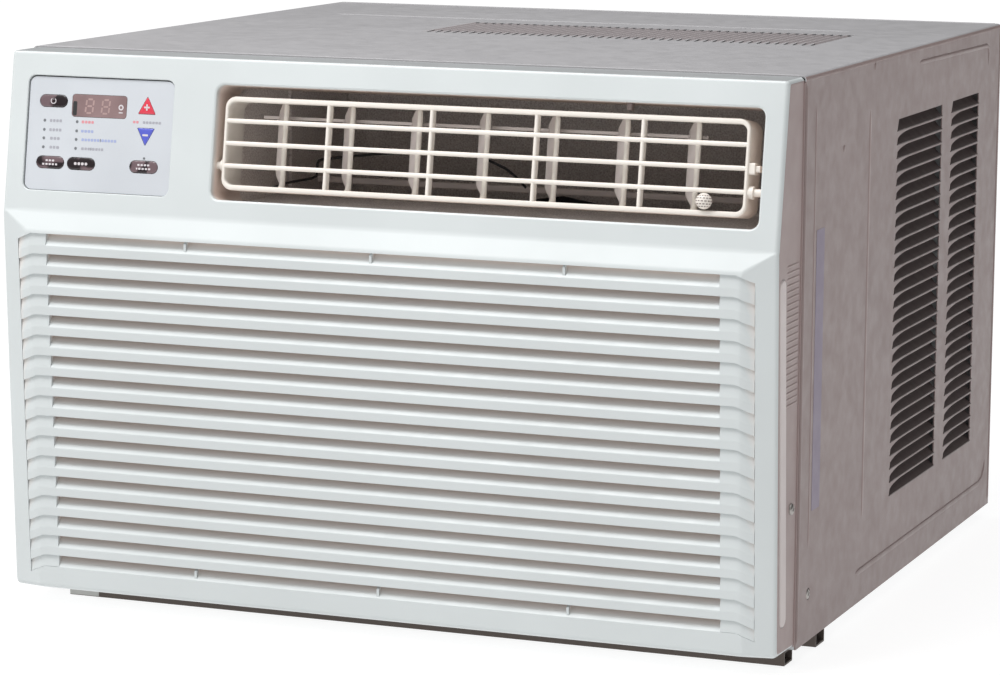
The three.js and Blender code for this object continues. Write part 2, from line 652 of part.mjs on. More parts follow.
function drainPan() {
  const p = DRAIN_PAN;
  const inner = p.half - p.wall;
  return block(-p.half, p.half, p.front, p.back, p.bottom, p.top)
    .subtract(block(-inner, inner, p.front + p.wall, p.back - p.wall, p.bottom + p.wall, p.top + 1));
}

function heaterElement() {
  const h = HEATER;
  const b = h.border;
  const frame = block(h.left, h.right, h.front, h.back, h.bottom, h.top)
    .subtract(block(h.left + b, h.right - b, h.front - 1, h.back + 1, h.bottom + b, h.top - b));
  const middle = (h.front + h.back) / 2;
  const parts = [frame];
  for (let i = 1; i <= h.rods; i += 1) {
    const z = h.bottom + (i * (h.top - h.bottom)) / (h.rods + 1);
    parts.push(rod('x', [middle, z], h.left + b / 2, h.right - b / 2, 3.5, 6));
  }
  return union(parts);
}

function coil(c, left, right) {
  return block(left, right, c.front, c.back, c.bottom, c.top);
}

piece('discharge_duct', dischargeDuct(), FOAM);
piece('blower_scroll', blowerScroll(), FOAM);
piece('blower_wheel', blowerWheel(), BLACK);
piece('evaporator_coil', coil(EVAPORATOR, -EVAPORATOR.half, EVAPORATOR.half), FIN);
piece('evaporator_drain_pan', drainPan(), FOAM);
piece('heater_element', heaterElement(), STEEL);

// ---- Street-side machinery ------------------------------------------------------------------
const BULKHEAD = { half: 326, front: 222, back: 224, top: 454.5 };
const MOTOR = { front: 268, back: 346, radius: 58, boss: 22, bossReach: 12 };
const MOTOR_MOUNT = { half: 60, front: 280, back: 334, wall: 6, saddle: SHAFT.z - 20, archTop: 150 };
const FAN = { middle: 484, hub: 36, hubHalf: 22, radius: 168, chord: 90, pitch: 28, blades: 5, rim: 5 };
const SHROUD = { left: -280, right: 308, plate: 530, back: 532, front: 508, hole: 183, wall: 3, top: 452 };
const CONDENSER = { left: -280, right: 305, front: 552, back: 598, bottom: 34, top: 444 };
const COMPRESSOR = { x: -195, y: 345, radius: 71, bottom: 40, top: 313 };
const ACCUMULATOR = { x: -88, y: 400, radius: 25, bottom: 60, top: 210 };
const COMPRESSOR_PLATE = { halfWidth: 90, halfDepth: 80, bottom: 36, top: 39.7, foot: 11 };
const TUBE = { x: -304, suctionHole: 9, liquidHole: 7, suctionZ: 340, liquidZ: 40 };

function bulkhead() {
  const b = BULKHEAD;
  const [from, to] = [b.front - 2, b.back + 2];
  return block(-b.half, b.half, b.front, b.back, FLOOR + GAP, b.top)
    .subtract(rod('y', SHAFT_AT, from, to, SHAFT.radius + 8))
    .subtract(rod('y', [TUBE.x, TUBE.suctionZ], from, to, TUBE.suctionHole, 8))
    .subtract(rod('y', [TUBE.x, TUBE.liquidZ], from, to, TUBE.liquidHole, 8));
}

function fanMotor() {
  const m = MOTOR;
  return rod('y', SHAFT_AT, m.front, m.back, m.radius, DRUM)
    .add(rod('y', SHAFT_AT, m.front - m.bossReach, m.back + m.bossReach, m.boss))
    .subtract(rod('y', SHAFT_AT, m.front - 20, m.back + 20, SHAFT.radius + 0.5));
}

function motorMount() {
  const m = MOTOR_MOUNT;
  const [left, right] = [SHAFT.x - m.half, SHAFT.x + m.half];
  return block(left, right, m.front, m.back, FLOOR + GAP, m.saddle)
    .subtract(block(left + m.wall, right - m.wall, m.front - 1, m.back + 1, FLOOR + 16, m.archTop))
    .subtract(rod('y', SHAFT_AT, m.front - 1, m.back + 1, MOTOR.radius + 2 * GAP, DRUM));
}

function condenserFan() {
  const f = FAN;
  const [front, back] = [f.middle + 8, f.middle + 20];
  const flat = block(f.hub - 11, f.radius + 1, -1.2, 1.2, -f.chord / 2, f.chord / 2);
  const parts = [rod('y', SHAFT_AT, f.middle - f.hubHalf, f.middle + f.hubHalf, f.hub)];
  for (let i = 0; i < f.blades; i += 1) {
    const blade = flat.rotate([f.pitch, 0, 0]);
    parts.push(blade.rotate([0, (i * 360) / f.blades, 0]).translate([SHAFT.x, f.middle, SHAFT.z]));
  }
  parts.push(rod('y', SHAFT_AT, front, back, f.radius + f.rim, DRUM)
    .subtract(rod('y', SHAFT_AT, front - 1, back + 1, f.radius, DRUM)));
  return union(parts).subtract(rod('y', SHAFT_AT, f.middle - 30, f.middle + 30, SHAFT.radius + GAP));
}

function fanShroud() {
  const s = SHROUD;
  return block(s.left, s.right, s.plate, s.back, FLOOR + GAP, s.top)
    .add(rod('y', SHAFT_AT, s.front, s.back - 1, s.hole + s.wall, DRUM))
    .subtract(rod('y', SHAFT_AT, s.front - 1, s.back + 1, s.hole, DRUM));
}

function compressor() {
  const { x, y, radius, bottom, top } = COMPRESSOR;
  return turned([
    [0, bottom], [radius - 13, bottom], [radius - 1, bottom + 10], [radius, bottom + 125],
    [radius, top - 63], [radius - 7, top - 28], [radius - 26, top - 9], [20, top - 1], [0, top],
  ], x, y, 16);
}

function accumulator() {
  const { x, y, radius, bottom, top } = ACCUMULATOR;
  return turned([
    [0, bottom], [radius - 7, bottom + 2], [radius, bottom + 15],
    [radius, top - 15], [radius - 7, top - 2], [0, top],
  ], x, y, ROUND);
}

function compressorBase() {
  const { x, y } = COMPRESSOR;
  const b = COMPRESSOR_PLATE;
  const plate = block(x - b.halfWidth, x + b.halfWidth, y - b.halfDepth, y + b.halfDepth, b.bottom, b.top);
  const [side, end] = [b.halfWidth - 15, b.halfDepth - 15];
  const feet = [[x - side, y - end], [x + side, y - end], [x, y + end]];
  return union([plate, ...feet.map((at) => rod('z', at, FLOOR + GAP, b.bottom + 1, b.foot, 8))]);
}

piece('bulkhead', bulkhead(), STEEL);
piece('fan_motor', fanMotor(), BLACK);
piece('motor_mount', motorMount(), STEEL);
piece('motor_shaft', rod('y', SHAFT_AT, SHAFT.front, SHAFT.back, SHAFT.radius), STEEL);
piece('condenser_fan', condenserFan(), BLACK);
piece('fan_shroud', fanShroud(), STEEL);
piece('condenser_coil', coil(CONDENSER, CONDENSER.left, CONDENSER.right), FIN);
piece('compressor', compressor(), BLACK);
piece('compressor_base', compressorBase(), RUBBER);
piece('accumulator', accumulator(), BLACK);

// ---- Refrigerant tubes ------------------------------------------------------------------------
const { x: shellX, y: shellY, top: shellTop } = COMPRESSOR;
const { x: potX, y: potY, top: potTop } = ACCUMULATOR;

piece('discharge_tube', tube([
  [shellX, shellY, shellTop + 0.5], [shellX, shellY, 372], [-240, 400, 398],
  [-297, 470, 400], [-297, 545, 400], [-290, 575, 400],
], 5), COPPER);
piece('suction_tube', tube([
  [potX, potY, potTop + 0.5], [potX, potY, 300], [-110, 330, 352], [-240, 262, 356],
  [TUBE.x, 240, TUBE.suctionZ + 1], [TUBE.x, 205, TUBE.suctionZ], [TUBE.x, 110, 334], [-296, 50, 300],
], 6), COPPER);
piece('liquid_tube', tube([
  [-288, 575, 70], [-300, 545, 62], [-306, 450, 44], [TUBE.x, 240, TUBE.liquidZ],
  [TUBE.x, 205, TUBE.liquidZ], [-302, 110, 44], [-296, 50, 60],
], 3.5), COPPER);

export default unit;
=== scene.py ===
"""Looks of the window air conditioner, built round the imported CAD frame."""

import math

import bmesh
import bpy
from mathutils import Matrix, Vector


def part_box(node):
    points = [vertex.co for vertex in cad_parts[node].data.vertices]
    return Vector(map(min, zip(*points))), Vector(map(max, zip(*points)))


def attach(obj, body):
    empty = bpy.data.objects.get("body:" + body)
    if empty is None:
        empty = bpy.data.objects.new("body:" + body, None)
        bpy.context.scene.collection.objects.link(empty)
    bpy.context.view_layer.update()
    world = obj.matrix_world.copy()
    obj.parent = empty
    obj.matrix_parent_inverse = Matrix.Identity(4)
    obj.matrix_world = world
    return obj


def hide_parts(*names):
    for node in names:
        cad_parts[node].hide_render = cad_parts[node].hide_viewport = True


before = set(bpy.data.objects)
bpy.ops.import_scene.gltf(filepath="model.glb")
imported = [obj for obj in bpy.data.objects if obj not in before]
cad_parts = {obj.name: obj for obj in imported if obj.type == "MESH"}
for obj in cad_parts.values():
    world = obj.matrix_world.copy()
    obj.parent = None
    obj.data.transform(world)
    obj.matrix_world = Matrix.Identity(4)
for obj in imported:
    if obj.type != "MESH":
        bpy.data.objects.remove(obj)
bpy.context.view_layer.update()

# ---- Frames ---------------------------------------------------------------------------
# Shapes are drawn in millimetres in one of three frames. In CABINET, y = 0 is the cabinet's
# front edge and z = 0 the sill. In UPPER and LOWER, the two tilted faces of the front panel,
# y is the depth behind the face and z the distance up it.
MM = 0.001
top_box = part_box("cabinet_top")
panel_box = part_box("front_panel")
HALF = top_box[1].x / MM
TOP = top_box[1].z / MM
DEPTH = (top_box[1].y - top_box[0].y) / MM
CABINET = Matrix.Translation((0, top_box[0].y, 0)) @ Matrix.Scale(MM, 4)

PANEL_HALF = panel_box[1].x / MM
PANEL_TOP = panel_box[1].z / MM
PANEL_BOTTOM = panel_box[0].z / MM
BULGE = ((panel_box[0].y - top_box[0].y) / MM, TOP - 144)
LIP = (BULGE[0] + 29, PANEL_TOP)
CREASE = (BULGE[0] + 9.5, TOP - 125)
TOE = (BULGE[0] + 17, PANEL_BOTTOM + 1)


def face_frame(bottom, top):
    tilt = math.atan2(top[0] - bottom[0], top[1] - bottom[1])
    return CABINET @ Matrix.Translation((0, *bottom)) @ Matrix.Rotation(-tilt, 4, "X")


UPPER = face_frame(CREASE, LIP)
LOWER = face_frame(TOE, BULGE)


# ---- Mesh tools -----------------------------------------------------------------------
# A shape is a pair: a list of points and a list of faces. Rings are lists of points.
def join(*shapes):
    points, faces = [], []
    for shape_points, shape_faces in shapes:
        start = len(points)
        points += shape_points
        faces += [tuple(i + start for i in face) for face in shape_faces]
    return points, faces


def moved(shape, matrix):
    points, faces = shape
    return [tuple(matrix @ Vector(p)) for p in points], faces


def mirrored(shape):
    points, faces = shape
    return [(-x, y, z) for x, y, z in points], [face[::-1] for face in faces]


def loft(rings, closed=False):
    """Skin through rings of equal length: capped at its two ends, or closed on itself."""
    size = len(rings[0])
    points = [tuple(p) for ring in rings for p in ring]
    count = len(rings)
    faces = []
    for k in range(count if closed else count - 1):
        a, b = k * size, ((k + 1) % count) * size
        for i in range(size):
            j = (i + 1) % size
            faces.append((a + i, a + j, b + j, b + i))
    if not closed:
        faces.append(tuple(range(size))[::-1])
        faces.append(tuple(range((count - 1) * size, count * size)))
    return points, faces


def lift(outline, axis, at):
    """A flat outline as a ring: (y, z) at x, (x, z) at y, or (x, y) at z."""
    if axis == "x":
        return [(at, a, b) for a, b in outline]
    if axis == "y":
        return [(a, at, b) for a, b in outline]
    return [(a, b, at) for a, b in outline]


def prism(outline, axis, start, end):
    return loft([lift(outline, axis, start), lift(outline, axis, end)])


def block(x0, x1, y0, y1, z0, z1):
    return prism([(x0, y0), (x1, y0), (x1, y1), (x0, y1)], "z", z0, z1)


def filleted(corners, steps=4):
    """Rounds a closed outline. Each corner is (a, b, radius)."""
    ring = []
    count = len(corners)
    for i, (a, b, radius) in enumerate(corners):
        here = Vector((a, b))
        before = Vector(corners[i - 1][:2]) - here
        after = Vector(corners[(i + 1) % count][:2]) - here
        half = before.angle(after) / 2
        reach = min(radius / math.tan(half), 0.49 * before.length, 0.49 * after.length)
        start = here + before.normalized() * reach
        end = here + after.normalized() * reach
        for k in range(steps + 1):
            t = k / steps
            ring.append(tuple((1 - t) ** 2 * start + 2 * t * (1 - t) * here + t * t * end))
    return ring


def rounded_box(x0, x1, z0, z1, radius, steps=6, grow=0.0):
    """A rectangle with round corners, made larger all round by grow."""
    x0, x1, z0, z1 = x0 - grow, x1 + grow, z0 - grow, z1 + grow
    radius = max(radius + grow, 0.05)
    centres = [(x1 - radius, z1 - radius, 0), (x0 + radius, z1 - radius, 90),
               (x0 + radius, z0 + radius, 180), (x1 - radius, z0 + radius, 270)]
    ring = []
    for x, z, start in centres:
        for k in range(steps + 1):
            angle = math.radians(start + 90 * k / steps)
            ring.append((x + radius * math.cos(angle), z + radius * math.sin(angle)))
    return ring


def circle(x, z, radius, steps=24):
    turn = 2 * math.pi / steps
    return [(x + radius * math.cos(k * turn), z + radius * math.sin(k * turn)) for k in range(steps)]


def quarter(radius, steps=4):
    """Pairs (in, back) round a quarter of an edge: from the side wall to the flat face."""
    pairs = []
    for k in range(steps + 1):
        angle = math.radians(90 * k / steps)
        pairs.append((radius * (1 - math.cos(angle)), radius * (1 - math.sin(angle))))
    return pairs


def pad(outline_at, front, back, edge):
    """A plate whose front rim is rounded. outline_at(grow) gives its outline."""
    rings = [lift(outline_at(0), "y", back)]
    rings += [lift(outline_at(-inward), "y", front + behind) for inward, behind in quarter(edge)]
    return loft(rings)


def flared_cutter(outline_at, front, back, edge):
    """A cutter that leaves a rounded rim where it enters the face at depth `front`."""
    rings = [lift(outline_at(edge), "y", front - 5)]
    rings += [lift(outline_at(edge - math.sqrt(max(edge ** 2 - (edge - d) ** 2, 0))), "y", front + d)
              for d in [edge * k / 4 for k in range(5)]]
    rings.append(lift(outline_at(0), "y", back))
    return loft(rings)


def lathe(profile, x, z, steps=32):
    """A solid of revolution about a line along y, from (radius, y) points between its two ends."""
    rings = [[(x + r * math.cos(2 * math.pi * k / steps), y, z + r * math.sin(2 * math.pi * k / steps))
              for k in range(steps)] for r, y in profile]
    return loft(rings)


def headings(points):
    """The direction in which a path runs at each of its points."""
    last = len(points) - 1
    return [(points[min(i + 1, last)] - points[max(i - 1, 0)]).normalized() for i in range(last + 1)]


def bead(path, width, height, normal):
    """A ridge pressed in a sheet: half an ellipse swept along path, fading out at both ends."""
    normal = Vector(normal)
    points = [Vector(p) for p in path]
    rings = []
    for i, (point, along) in enumerate(zip(points, headings(points))):
        across = along.cross(normal)
        end = i in (0, len(points) - 1)
        w, h = (width * 0.12, 0.02) if end else (width / 2, height)
        ring = [point + across * w * math.cos(a) + normal * (h * math.sin(a) - 0.02)
                for a in [math.pi * k / 8 for k in range(9)]]
        ring += [point - across * w - normal * 0.5, point + across * w - normal * 0.5]
        rings.append(ring)
    return loft(rings)


def cord(path, radius):
    """A round cord along a path that runs mostly across the unit."""
    sides = 8
    turns = [2 * math.pi * k / sides for k in range(sides)]
    points = [Vector(p) for p in path]
    rings = []
    for point, along in zip(points, headings(points)):
        across = along.cross(Vector((0, 1, 0))).normalized()
        out = along.cross(across)
        rings.append([point + (across * math.cos(a) + out * math.sin(a)) * radius for a in turns])
    return loft(rings)


def run(start, end, taper):
    """Points of a straight ridge whose ends taper over a given length."""
    a, b = Vector(start), Vector(end)
    step = (b - a).normalized() * taper
    return [a, a + step, b - step, b]


def shape_object(shape):
    mesh = bpy.data.meshes.new("working")
    mesh.from_pydata(shape[0], [], shape[1])
    made = bmesh.new()
    made.from_mesh(mesh)
    bmesh.ops.recalc_face_normals(made, faces=made.faces)
    made.to_mesh(mesh)
    made.free()
    obj = bpy.data.objects.new("working", mesh)
    bpy.context.scene.collection.objects.link(obj)
    return obj


def boolean(shape, tool, operation="DIFFERENCE"):
    """One shape cut by, or joined with, another, as a shape again."""
    target, cutter = shape_object(shape), shape_object(tool)
    step = target.modifiers.new("cut", "BOOLEAN")
    step.operation = operation
    step.solver = "EXACT"
    step.object = cutter
    graph = bpy.context.evaluated_depsgraph_get()
    mesh = bpy.data.meshes.new_from_object(target.evaluated_get(graph))
    result = ([tuple(v.co) for v in mesh.vertices], [tuple(p.vertices) for p in mesh.polygons])
    for obj in (target, cutter):
        old = obj.data
        bpy.data.objects.remove(obj)
        bpy.data.meshes.remove(old)
    bpy.data.meshes.remove(mesh)
    return result


# Edges that turn by more than this many degrees stay crisp.
CRISP = 32


def smooth(mesh, limit):
    """Smooth shading that stays crisp across edges sharper than limit degrees."""
    made = bmesh.new()
    made.from_mesh(mesh)
    for face in made.faces:
        face.smooth = True
    for edge in made.edges:
        if len(edge.link_faces) == 2:
            edge.smooth = edge.calc_face_angle(0) < math.radians(limit)
    made.to_mesh(mesh)
    made.free()


def weigh_normals(obj):
    weigh = obj.modifiers.new("weighted_normals", "WEIGHTED_NORMAL")
    weigh.keep_sharp = True


def piece(name, shape, place, body, material, replaces=(), bevel=0.0, limit=CRISP):
    """Makes a shape a visible piece that rides on a body."""
    mesh = bpy.data.meshes.new(name)
    mesh.from_pydata(shape[0], [], shape[1])
    made = bmesh.new()
    made.from_mesh(mesh)
    bmesh.ops.remove_doubles(made, verts=made.verts, dist=0.002)
    bmesh.ops.dissolve_degenerate(made, edges=made.edges, dist=0.001)
    bmesh.ops.recalc_face_normals(made, faces=made.faces)
    if bevel:
        sharp = [e for e in made.edges
                 if len(e.link_faces) == 2 and e.calc_face_angle(0) > math.radians(30)]
        bmesh.ops.bevel(made, geom=sharp, offset=bevel, segments=2, profile=0.5,
                        affect="EDGES", clamp_overlap=True)
    made.transform(place)
    made.to_mesh(mesh)
    made.free()
    smooth(mesh, limit)
    mesh.materials.append(material)
    obj = bpy.data.objects.new(name, mesh)
    bpy.context.scene.collection.objects.link(obj)
    weigh_normals(obj)
    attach(obj, body)
    if replaces:
        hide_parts(*replaces)
    return obj


def dress(node, material, bevel=0.4):
    """Gives a CAD node, whose shape is right, softened edges and its finish."""
    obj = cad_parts[node]
    obj.data.materials.clear()
    obj.data.materials.append(material)
    for face in obj.data.polygons:
        face.material_index = 0
    soften = obj.modifiers.new("softened_edges", "BEVEL")
    soften.width = bevel * MM
    soften.segments = 2
    soften.limit_method = "ANGLE"
    soften.angle_limit = math.radians(40)
    weigh_normals(obj)


# ---- Materials ------------------------------------------------------------------------
class Nodes:
    """A short way to write a node tree."""

    def __init__(self, name):
        self.material = bpy.data.materials.new(name)
        self.material.use_nodes = True
        self.tree = self.material.node_tree
        self.tree.nodes.clear()
        self.shader = self.add("ShaderNodeBsdfPrincipled")
        out = self.add("ShaderNodeOutputMaterial")
        self.link(self.shader.outputs["BSDF"], out.inputs["Surface"])
        self.place = self.add("ShaderNodeTexCoord").outputs["Object"]

    def add(self, kind, **settings):
        node = self.tree.nodes.new(kind)
        for key, value in settings.items():
            setattr(node, key, value)
        return node

    def link(self, output, socket):
        self.tree.links.new(output, socket)

    def noise(self, scale, detail=3.0, stretch=(1, 1, 1)):
        mapping = self.add("ShaderNodeMapping")
        mapping.inputs["Scale"].default_value = stretch
        self.link(self.place, mapping.inputs["Vector"])
        node = self.add("ShaderNodeTexNoise")
        node.inputs["Scale"].default_value = scale
        node.inputs["Detail"].default_value = detail
        self.link(mapping.outputs["Vector"], node.inputs["Vector"])
        return node.outputs["Fac"]

    def spread(self, value, low, high, start=0.3, end=0.7):
        node = self.add("ShaderNodeMapRange")
        self.link(value, node.inputs["Value"])
        settings = {"From Min": start, "From Max": end, "To Min": low, "To Max": high}
        for key, number in settings.items():
            node.inputs[key].default_value = number
        return node.outputs["Result"]

    def mix(self, factor, first, second):
        """Colours are RGB triples or sockets."""
        node = self.add("ShaderNodeMix", data_type="RGBA")
        self.link(factor, node.inputs[0])
        for socket, colour in ((node.inputs[6], first), (node.inputs[7], second)):
            if isinstance(colour, tuple):
                socket.default_value = (*colour, 1)
            else:
                self.link(colour, socket)
        return node.outputs[2]

    def bump(self, height, distance):
        node = self.add("ShaderNodeBump")
        node.inputs["Distance"].default_value = distance
        self.link(height, node.inputs["Height"])
        self.link(node.outputs["Normal"], self.shader.inputs["Normal"])

    def colour(self, source):
        self.link(source, self.shader.inputs["Base Color"])

    def drift(self, scale, first, second, detail=3.0):
        """A noise that wanders between two colours."""
        return self.mix(self.spread(self.noise(scale, detail), 0, 1), first, second)

    def rough(self, scale, detail, low, high):
        """Roughness that wanders between two values."""
        self.link(self.spread(self.noise(scale, detail), low, high), self.shader.inputs["Roughness"])

    def set(self, **values):
        for key, value in values.items():
            self.shader.inputs[key.replace("_", " ")].default_value = value


def tint(colour, factor):
    return tuple(min(c * factor, 1.0) for c in colour)


PLASTIC_GRAIN = 0.00002


def plastic(name, colour, roughness=0.4, grain=PLASTIC_GRAIN, drift=0.03):
    """Moulded plastic: a fine spark-eroded grain and a slow drift of colour and gloss."""
    n = Nodes(name)
    n.colour(n.drift(9, tint(colour, 1 - drift), tint(colour, 1 + drift)))
    n.rough(60, 4, roughness - 0.05, roughness + 0.06)
    n.bump(n.noise(1400, 2), grain)
    return n.material


def depth_shaded_plastic(name, colour, shade_colour, place, depth):
    """Plastic with painted shade: a warm tan painted in down inside its slots and recesses, by depth as a
    face frame measures it.
    """
    n = Nodes(name)
    away = n.add("ShaderNodeVectorMath", operation="SUBTRACT")
    away.inputs[1].default_value = place.translation
    n.link(n.place, away.inputs[0])
    along = n.add("ShaderNodeVectorMath", operation="DOT_PRODUCT")
    along.inputs[1].default_value = (place.to_3x3() @ Vector((0, 1, 0))).normalized()
    n.link(away.outputs["Vector"], along.inputs[0])
    # The share of painted shade grows with depth behind the face.
    share = n.spread(along.outputs["Value"], 0, 1, depth[0] * MM, depth[1] * MM)
    n.colour(n.mix(share, n.drift(9, tint(colour, 0.975), tint(colour, 1.02)), shade_colour))
    n.rough(60, 4, 0.35, 0.46)
    n.bump(n.noise(1400, 2), PLASTIC_GRAIN)
    return n.material


def enamel(name, colour, roughness=0.38):
    """Baked enamel on pressed sheet: orange peel, a slow wave in the sheet and faint scuffs."""
    n = Nodes(name)
    slow = n.drift(5, tint(colour, 0.965), tint(colour, 1.03))
    scuffs = n.spread(n.noise(35, 6, (1, 4, 1)), 0, 0.10, 0.58, 0.75)
    n.colour(n.mix(scuffs, slow, tint(colour, 1.12)))
    n.rough(80, 5, roughness - 0.05, roughness + 0.09)
    n.bump(n.noise(900, 2), 0.00003)
    n.set(Specular_IOR_Level=0.25)
    return n.material


def metal(name, colour, roughness, stretch=(1, 1, 1)):
    """Bare or plated metal, brushed along the axis that stretch squeezes."""
    n = Nodes(name)
    streaks = n.noise(160, 5, stretch)
    n.colour(n.mix(n.spread(streaks, 0, 1), tint(colour, 0.82), tint(colour, 1.12)))
    n.rough(45, 4, roughness - 0.07, roughness + 0.12)
    n.bump(streaks, 0.00002)
    n.set(Metallic=1.0)
    return n.material


def spangle(name, colour):
    """Hot-dip galvanised sheet with its patchwork of zinc crystals."""
    n = Nodes(name)
    cells = n.add("ShaderNodeTexVoronoi")
    cells.inputs["Scale"].default_value = 90
    n.link(n.place, cells.inputs["Vector"])
    value = n.add("ShaderNodeSeparateColor")
    n.link(cells.outputs["Color"], value.inputs["Color"])
    n.colour(n.mix(value.outputs[0], tint(colour, 0.85), tint(colour, 1.1)))
    n.link(n.spread(value.outputs[1], 0.32, 0.52, 0, 1), n.shader.inputs["Roughness"])
    n.bump(n.noise(500, 3), 0.00002)
    n.set(Metallic=0.9)
    return n.material


def film(name, colour):
    """Glossy printed film that is not quite flat, so that its reflections waver."""
    n = Nodes(name)
    n.colour(n.drift(14, tint(colour, 0.96), tint(colour, 1.04)))
    n.rough(120, 3, 0.06, 0.14)
    n.bump(n.noise(28, 2, (1, 1, 0.35)), 0.0009)
    n.set(Coat_Weight=0.3)
    return n.material


def gloss(name, colour, second=None, scale=60, change=(0.35, 0.65)):
    """Gloss lacquer or clear plastic over a colour, with patches of a second one."""
    n = Nodes(name)
    n.colour(n.mix(n.spread(n.noise(scale, 2), 0, 1, *change), colour, second or tint(colour, 1.15)))
    n.rough(200, 3, 0.14, 0.24)
    n.bump(n.noise(90, 2), 0.00004)
    n.set(Coat_Weight=0.4)
    return n.material


def foam(name, colour):
    n = Nodes(name)
    cells = n.noise(700, 6)
    n.colour(n.mix(n.spread(cells, 0, 1), tint(colour, 0.7), tint(colour, 1.25)))
    n.bump(cells, 0.0003)
    n.set(Roughness=0.9)
    return n.material


def netting(name, colour):
    """A fine woven net: two sets of crossing threads."""
    n = Nodes(name)
    waves = []
    for axis in ("X", "Z"):
        wave = n.add("ShaderNodeTexWave", bands_direction=axis)
        wave.inputs["Scale"].default_value = 220
        n.link(n.place, wave.inputs["Vector"])
        waves.append(wave.outputs["Fac"])
    crossing = n.add("ShaderNodeMath", operation="MAXIMUM")
    n.link(waves[0], crossing.inputs[0])
    n.link(waves[1], crossing.inputs[1])
    n.colour(n.mix(crossing.outputs[0], tint(colour, 0.35), colour))
    n.bump(crossing.outputs[0], 0.0003)
    n.set(Roughness=0.8)
    return n.material


# SIDE_SHADE_COLOUR is painted shade: the cabinet enamel made darker and warmer for the sides, which stand in
# shade. Its tints below paint the same shade on other sideways faces.
SIDE_SHADE_COLOUR = (0.278, 0.214, 0.206)
PANEL_COLOUR = (0.605, 0.64, 0.643)
# SLOT_SHADE_COLOUR is painted shade: the warm tan of shade and bounced light down inside the slots and the
# outlet.
SLOT_SHADE_COLOUR = (0.86, 0.73, 0.66)
paint = enamel("cabinet_enamel", (0.386, 0.380, 0.390))
side_shade_enamel = enamel("cabinet_side_painted_shade", SIDE_SHADE_COLOUR)
# Painted shade on the sideways faces of the roof's bends, a little lighter than on the sides.
bend_shade_enamel = enamel("case_bend_painted_shade", tint(SIDE_SHADE_COLOUR, 1.22))
# Painted shade inside the side vents: their louvre blades are the cabinet's own pressed sheet, painted very
# dark.
side_vent_shade = enamel("side_louvre_painted_shade", tint(SIDE_SHADE_COLOUR, 0.33), 0.5)
# Painted shade on the panel's top faces: its white plastic darkened to a grey, as the top gets less light.
panel_top_shade = plastic("panel_top_painted_shade", (0.345, 0.355, 0.36), 0.4)
# Painted shade on the panel's side walls and flanges: the white plastic of its front, tinted to the shade of
# the sides.
panel_side_shade = plastic("panel_side_painted_shade", tint(SIDE_SHADE_COLOUR, 1.27), 0.45)
# Painted shade inside the roof vent: its blades take a warmer tint of the roof enamel.
roof_vent_shade = enamel("roof_louvre_painted_shade", (0.42, 0.38, 0.385), 0.5)
label_film = enamel("label_film", (0.285, 0.245, 0.31), 0.5)
# Painted highlight: the side's long creases, pressed in the same sheet, are made lighter than the side to
# show their lit flanks.
crease_highlight_enamel = enamel("crease_painted_highlight", tint(SIDE_SHADE_COLOUR, 1.22))
panel_plastic = plastic("panel_plastic", PANEL_COLOUR, 0.4)
# Painted warm shade inside the outlet sleeve and between the grille's slats.
sleeve_shaded_plastic = depth_shaded_plastic("outlet_sleeve_painted_shade", PANEL_COLOUR, SLOT_SHADE_COLOUR, UPPER, (0.9, 8))
grille_shaded_plastic = depth_shaded_plastic("grille_shaded_plastic", PANEL_COLOUR, SLOT_SHADE_COLOUR, LOWER, (2, 8))
cream = plastic("cream_plastic", (0.80, 0.75, 0.69), 0.42)
# Painted shade: the filter's cream plastic darkened and warmed to the shade on the panel's side, where its
# grip shows.
filter_shaded_plastic = plastic("filter_shaded_plastic", (0.62, 0.55, 0.54), 0.42)
shaded_cream = plastic("shaded_cream_plastic", (0.66, 0.60, 0.58), 0.45)
groove_shade = plastic("groove_shade", (0.22, 0.175, 0.165), 0.6)
overlay_film = film("printed_film", (0.575, 0.60, 0.635))
key_black = gloss("key_black", (0.012, 0.006, 0.008), (0.15, 0.10, 0.11), 34, (0.475, 0.51))
key_red = gloss("key_red", (0.62, 0.045, 0.075))
key_blue = gloss("key_blue", (0.09, 0.11, 0.52))
smoke = gloss("smoked_window", (0.20, 0.13, 0.13), (0.28, 0.19, 0.19), 30)
digit_ink = gloss("dim_segments", (0.36, 0.25, 0.24))
white_ink = plastic("white_ink", (0.64, 0.60, 0.62), 0.3)
grey_ink = plastic("grey_ink", (0.36, 0.36, 0.40), 0.4)
red_ink = plastic("red_ink", (0.66, 0.27, 0.30), 0.4)
blue_ink = plastic("blue_ink", (0.34, 0.39, 0.60), 0.4)
lamp = gloss("lamp_lens", (0.16, 0.17, 0.18))
rail_paint = enamel("rail_enamel", (0.105, 0.085, 0.075), 0.5)
rail_cap = enamel("rail_pale_enamel", (0.50, 0.50, 0.48), 0.45)
zinc = metal("zinc_plate", (0.42, 0.40, 0.38), 0.4)
galvanised = spangle("galvanised_sheet", (0.56, 0.57, 0.58))
fins = metal("aluminium_fins", (0.66, 0.68, 0.69), 0.36, (1, 1, 0.06))
can_metal = metal("drawn_can", (0.66, 0.67, 0.68), 0.3, (0.08, 1, 1))
copper = metal("copper_tube", (0.72, 0.36, 0.22), 0.3, (1, 0.2, 1))
black_plastic = plastic("black_plastic", (0.025, 0.025, 0.027), 0.5, 0.00005, 0.15)
black_enamel = enamel("black_enamel", (0.03, 0.03, 0.032), 0.35)
board_green = gloss("solder_mask", (0.02, 0.12, 0.05), (0.03, 0.18, 0.08), 220)
rubber = plastic("black_rubber", (0.02, 0.02, 0.02), 0.75, 0.0001, 0.2)
duct_foam = foam("duct_foam", (0.86, 0.76, 0.73))
net = netting("filter_net", (0.40, 0.37, 0.33))


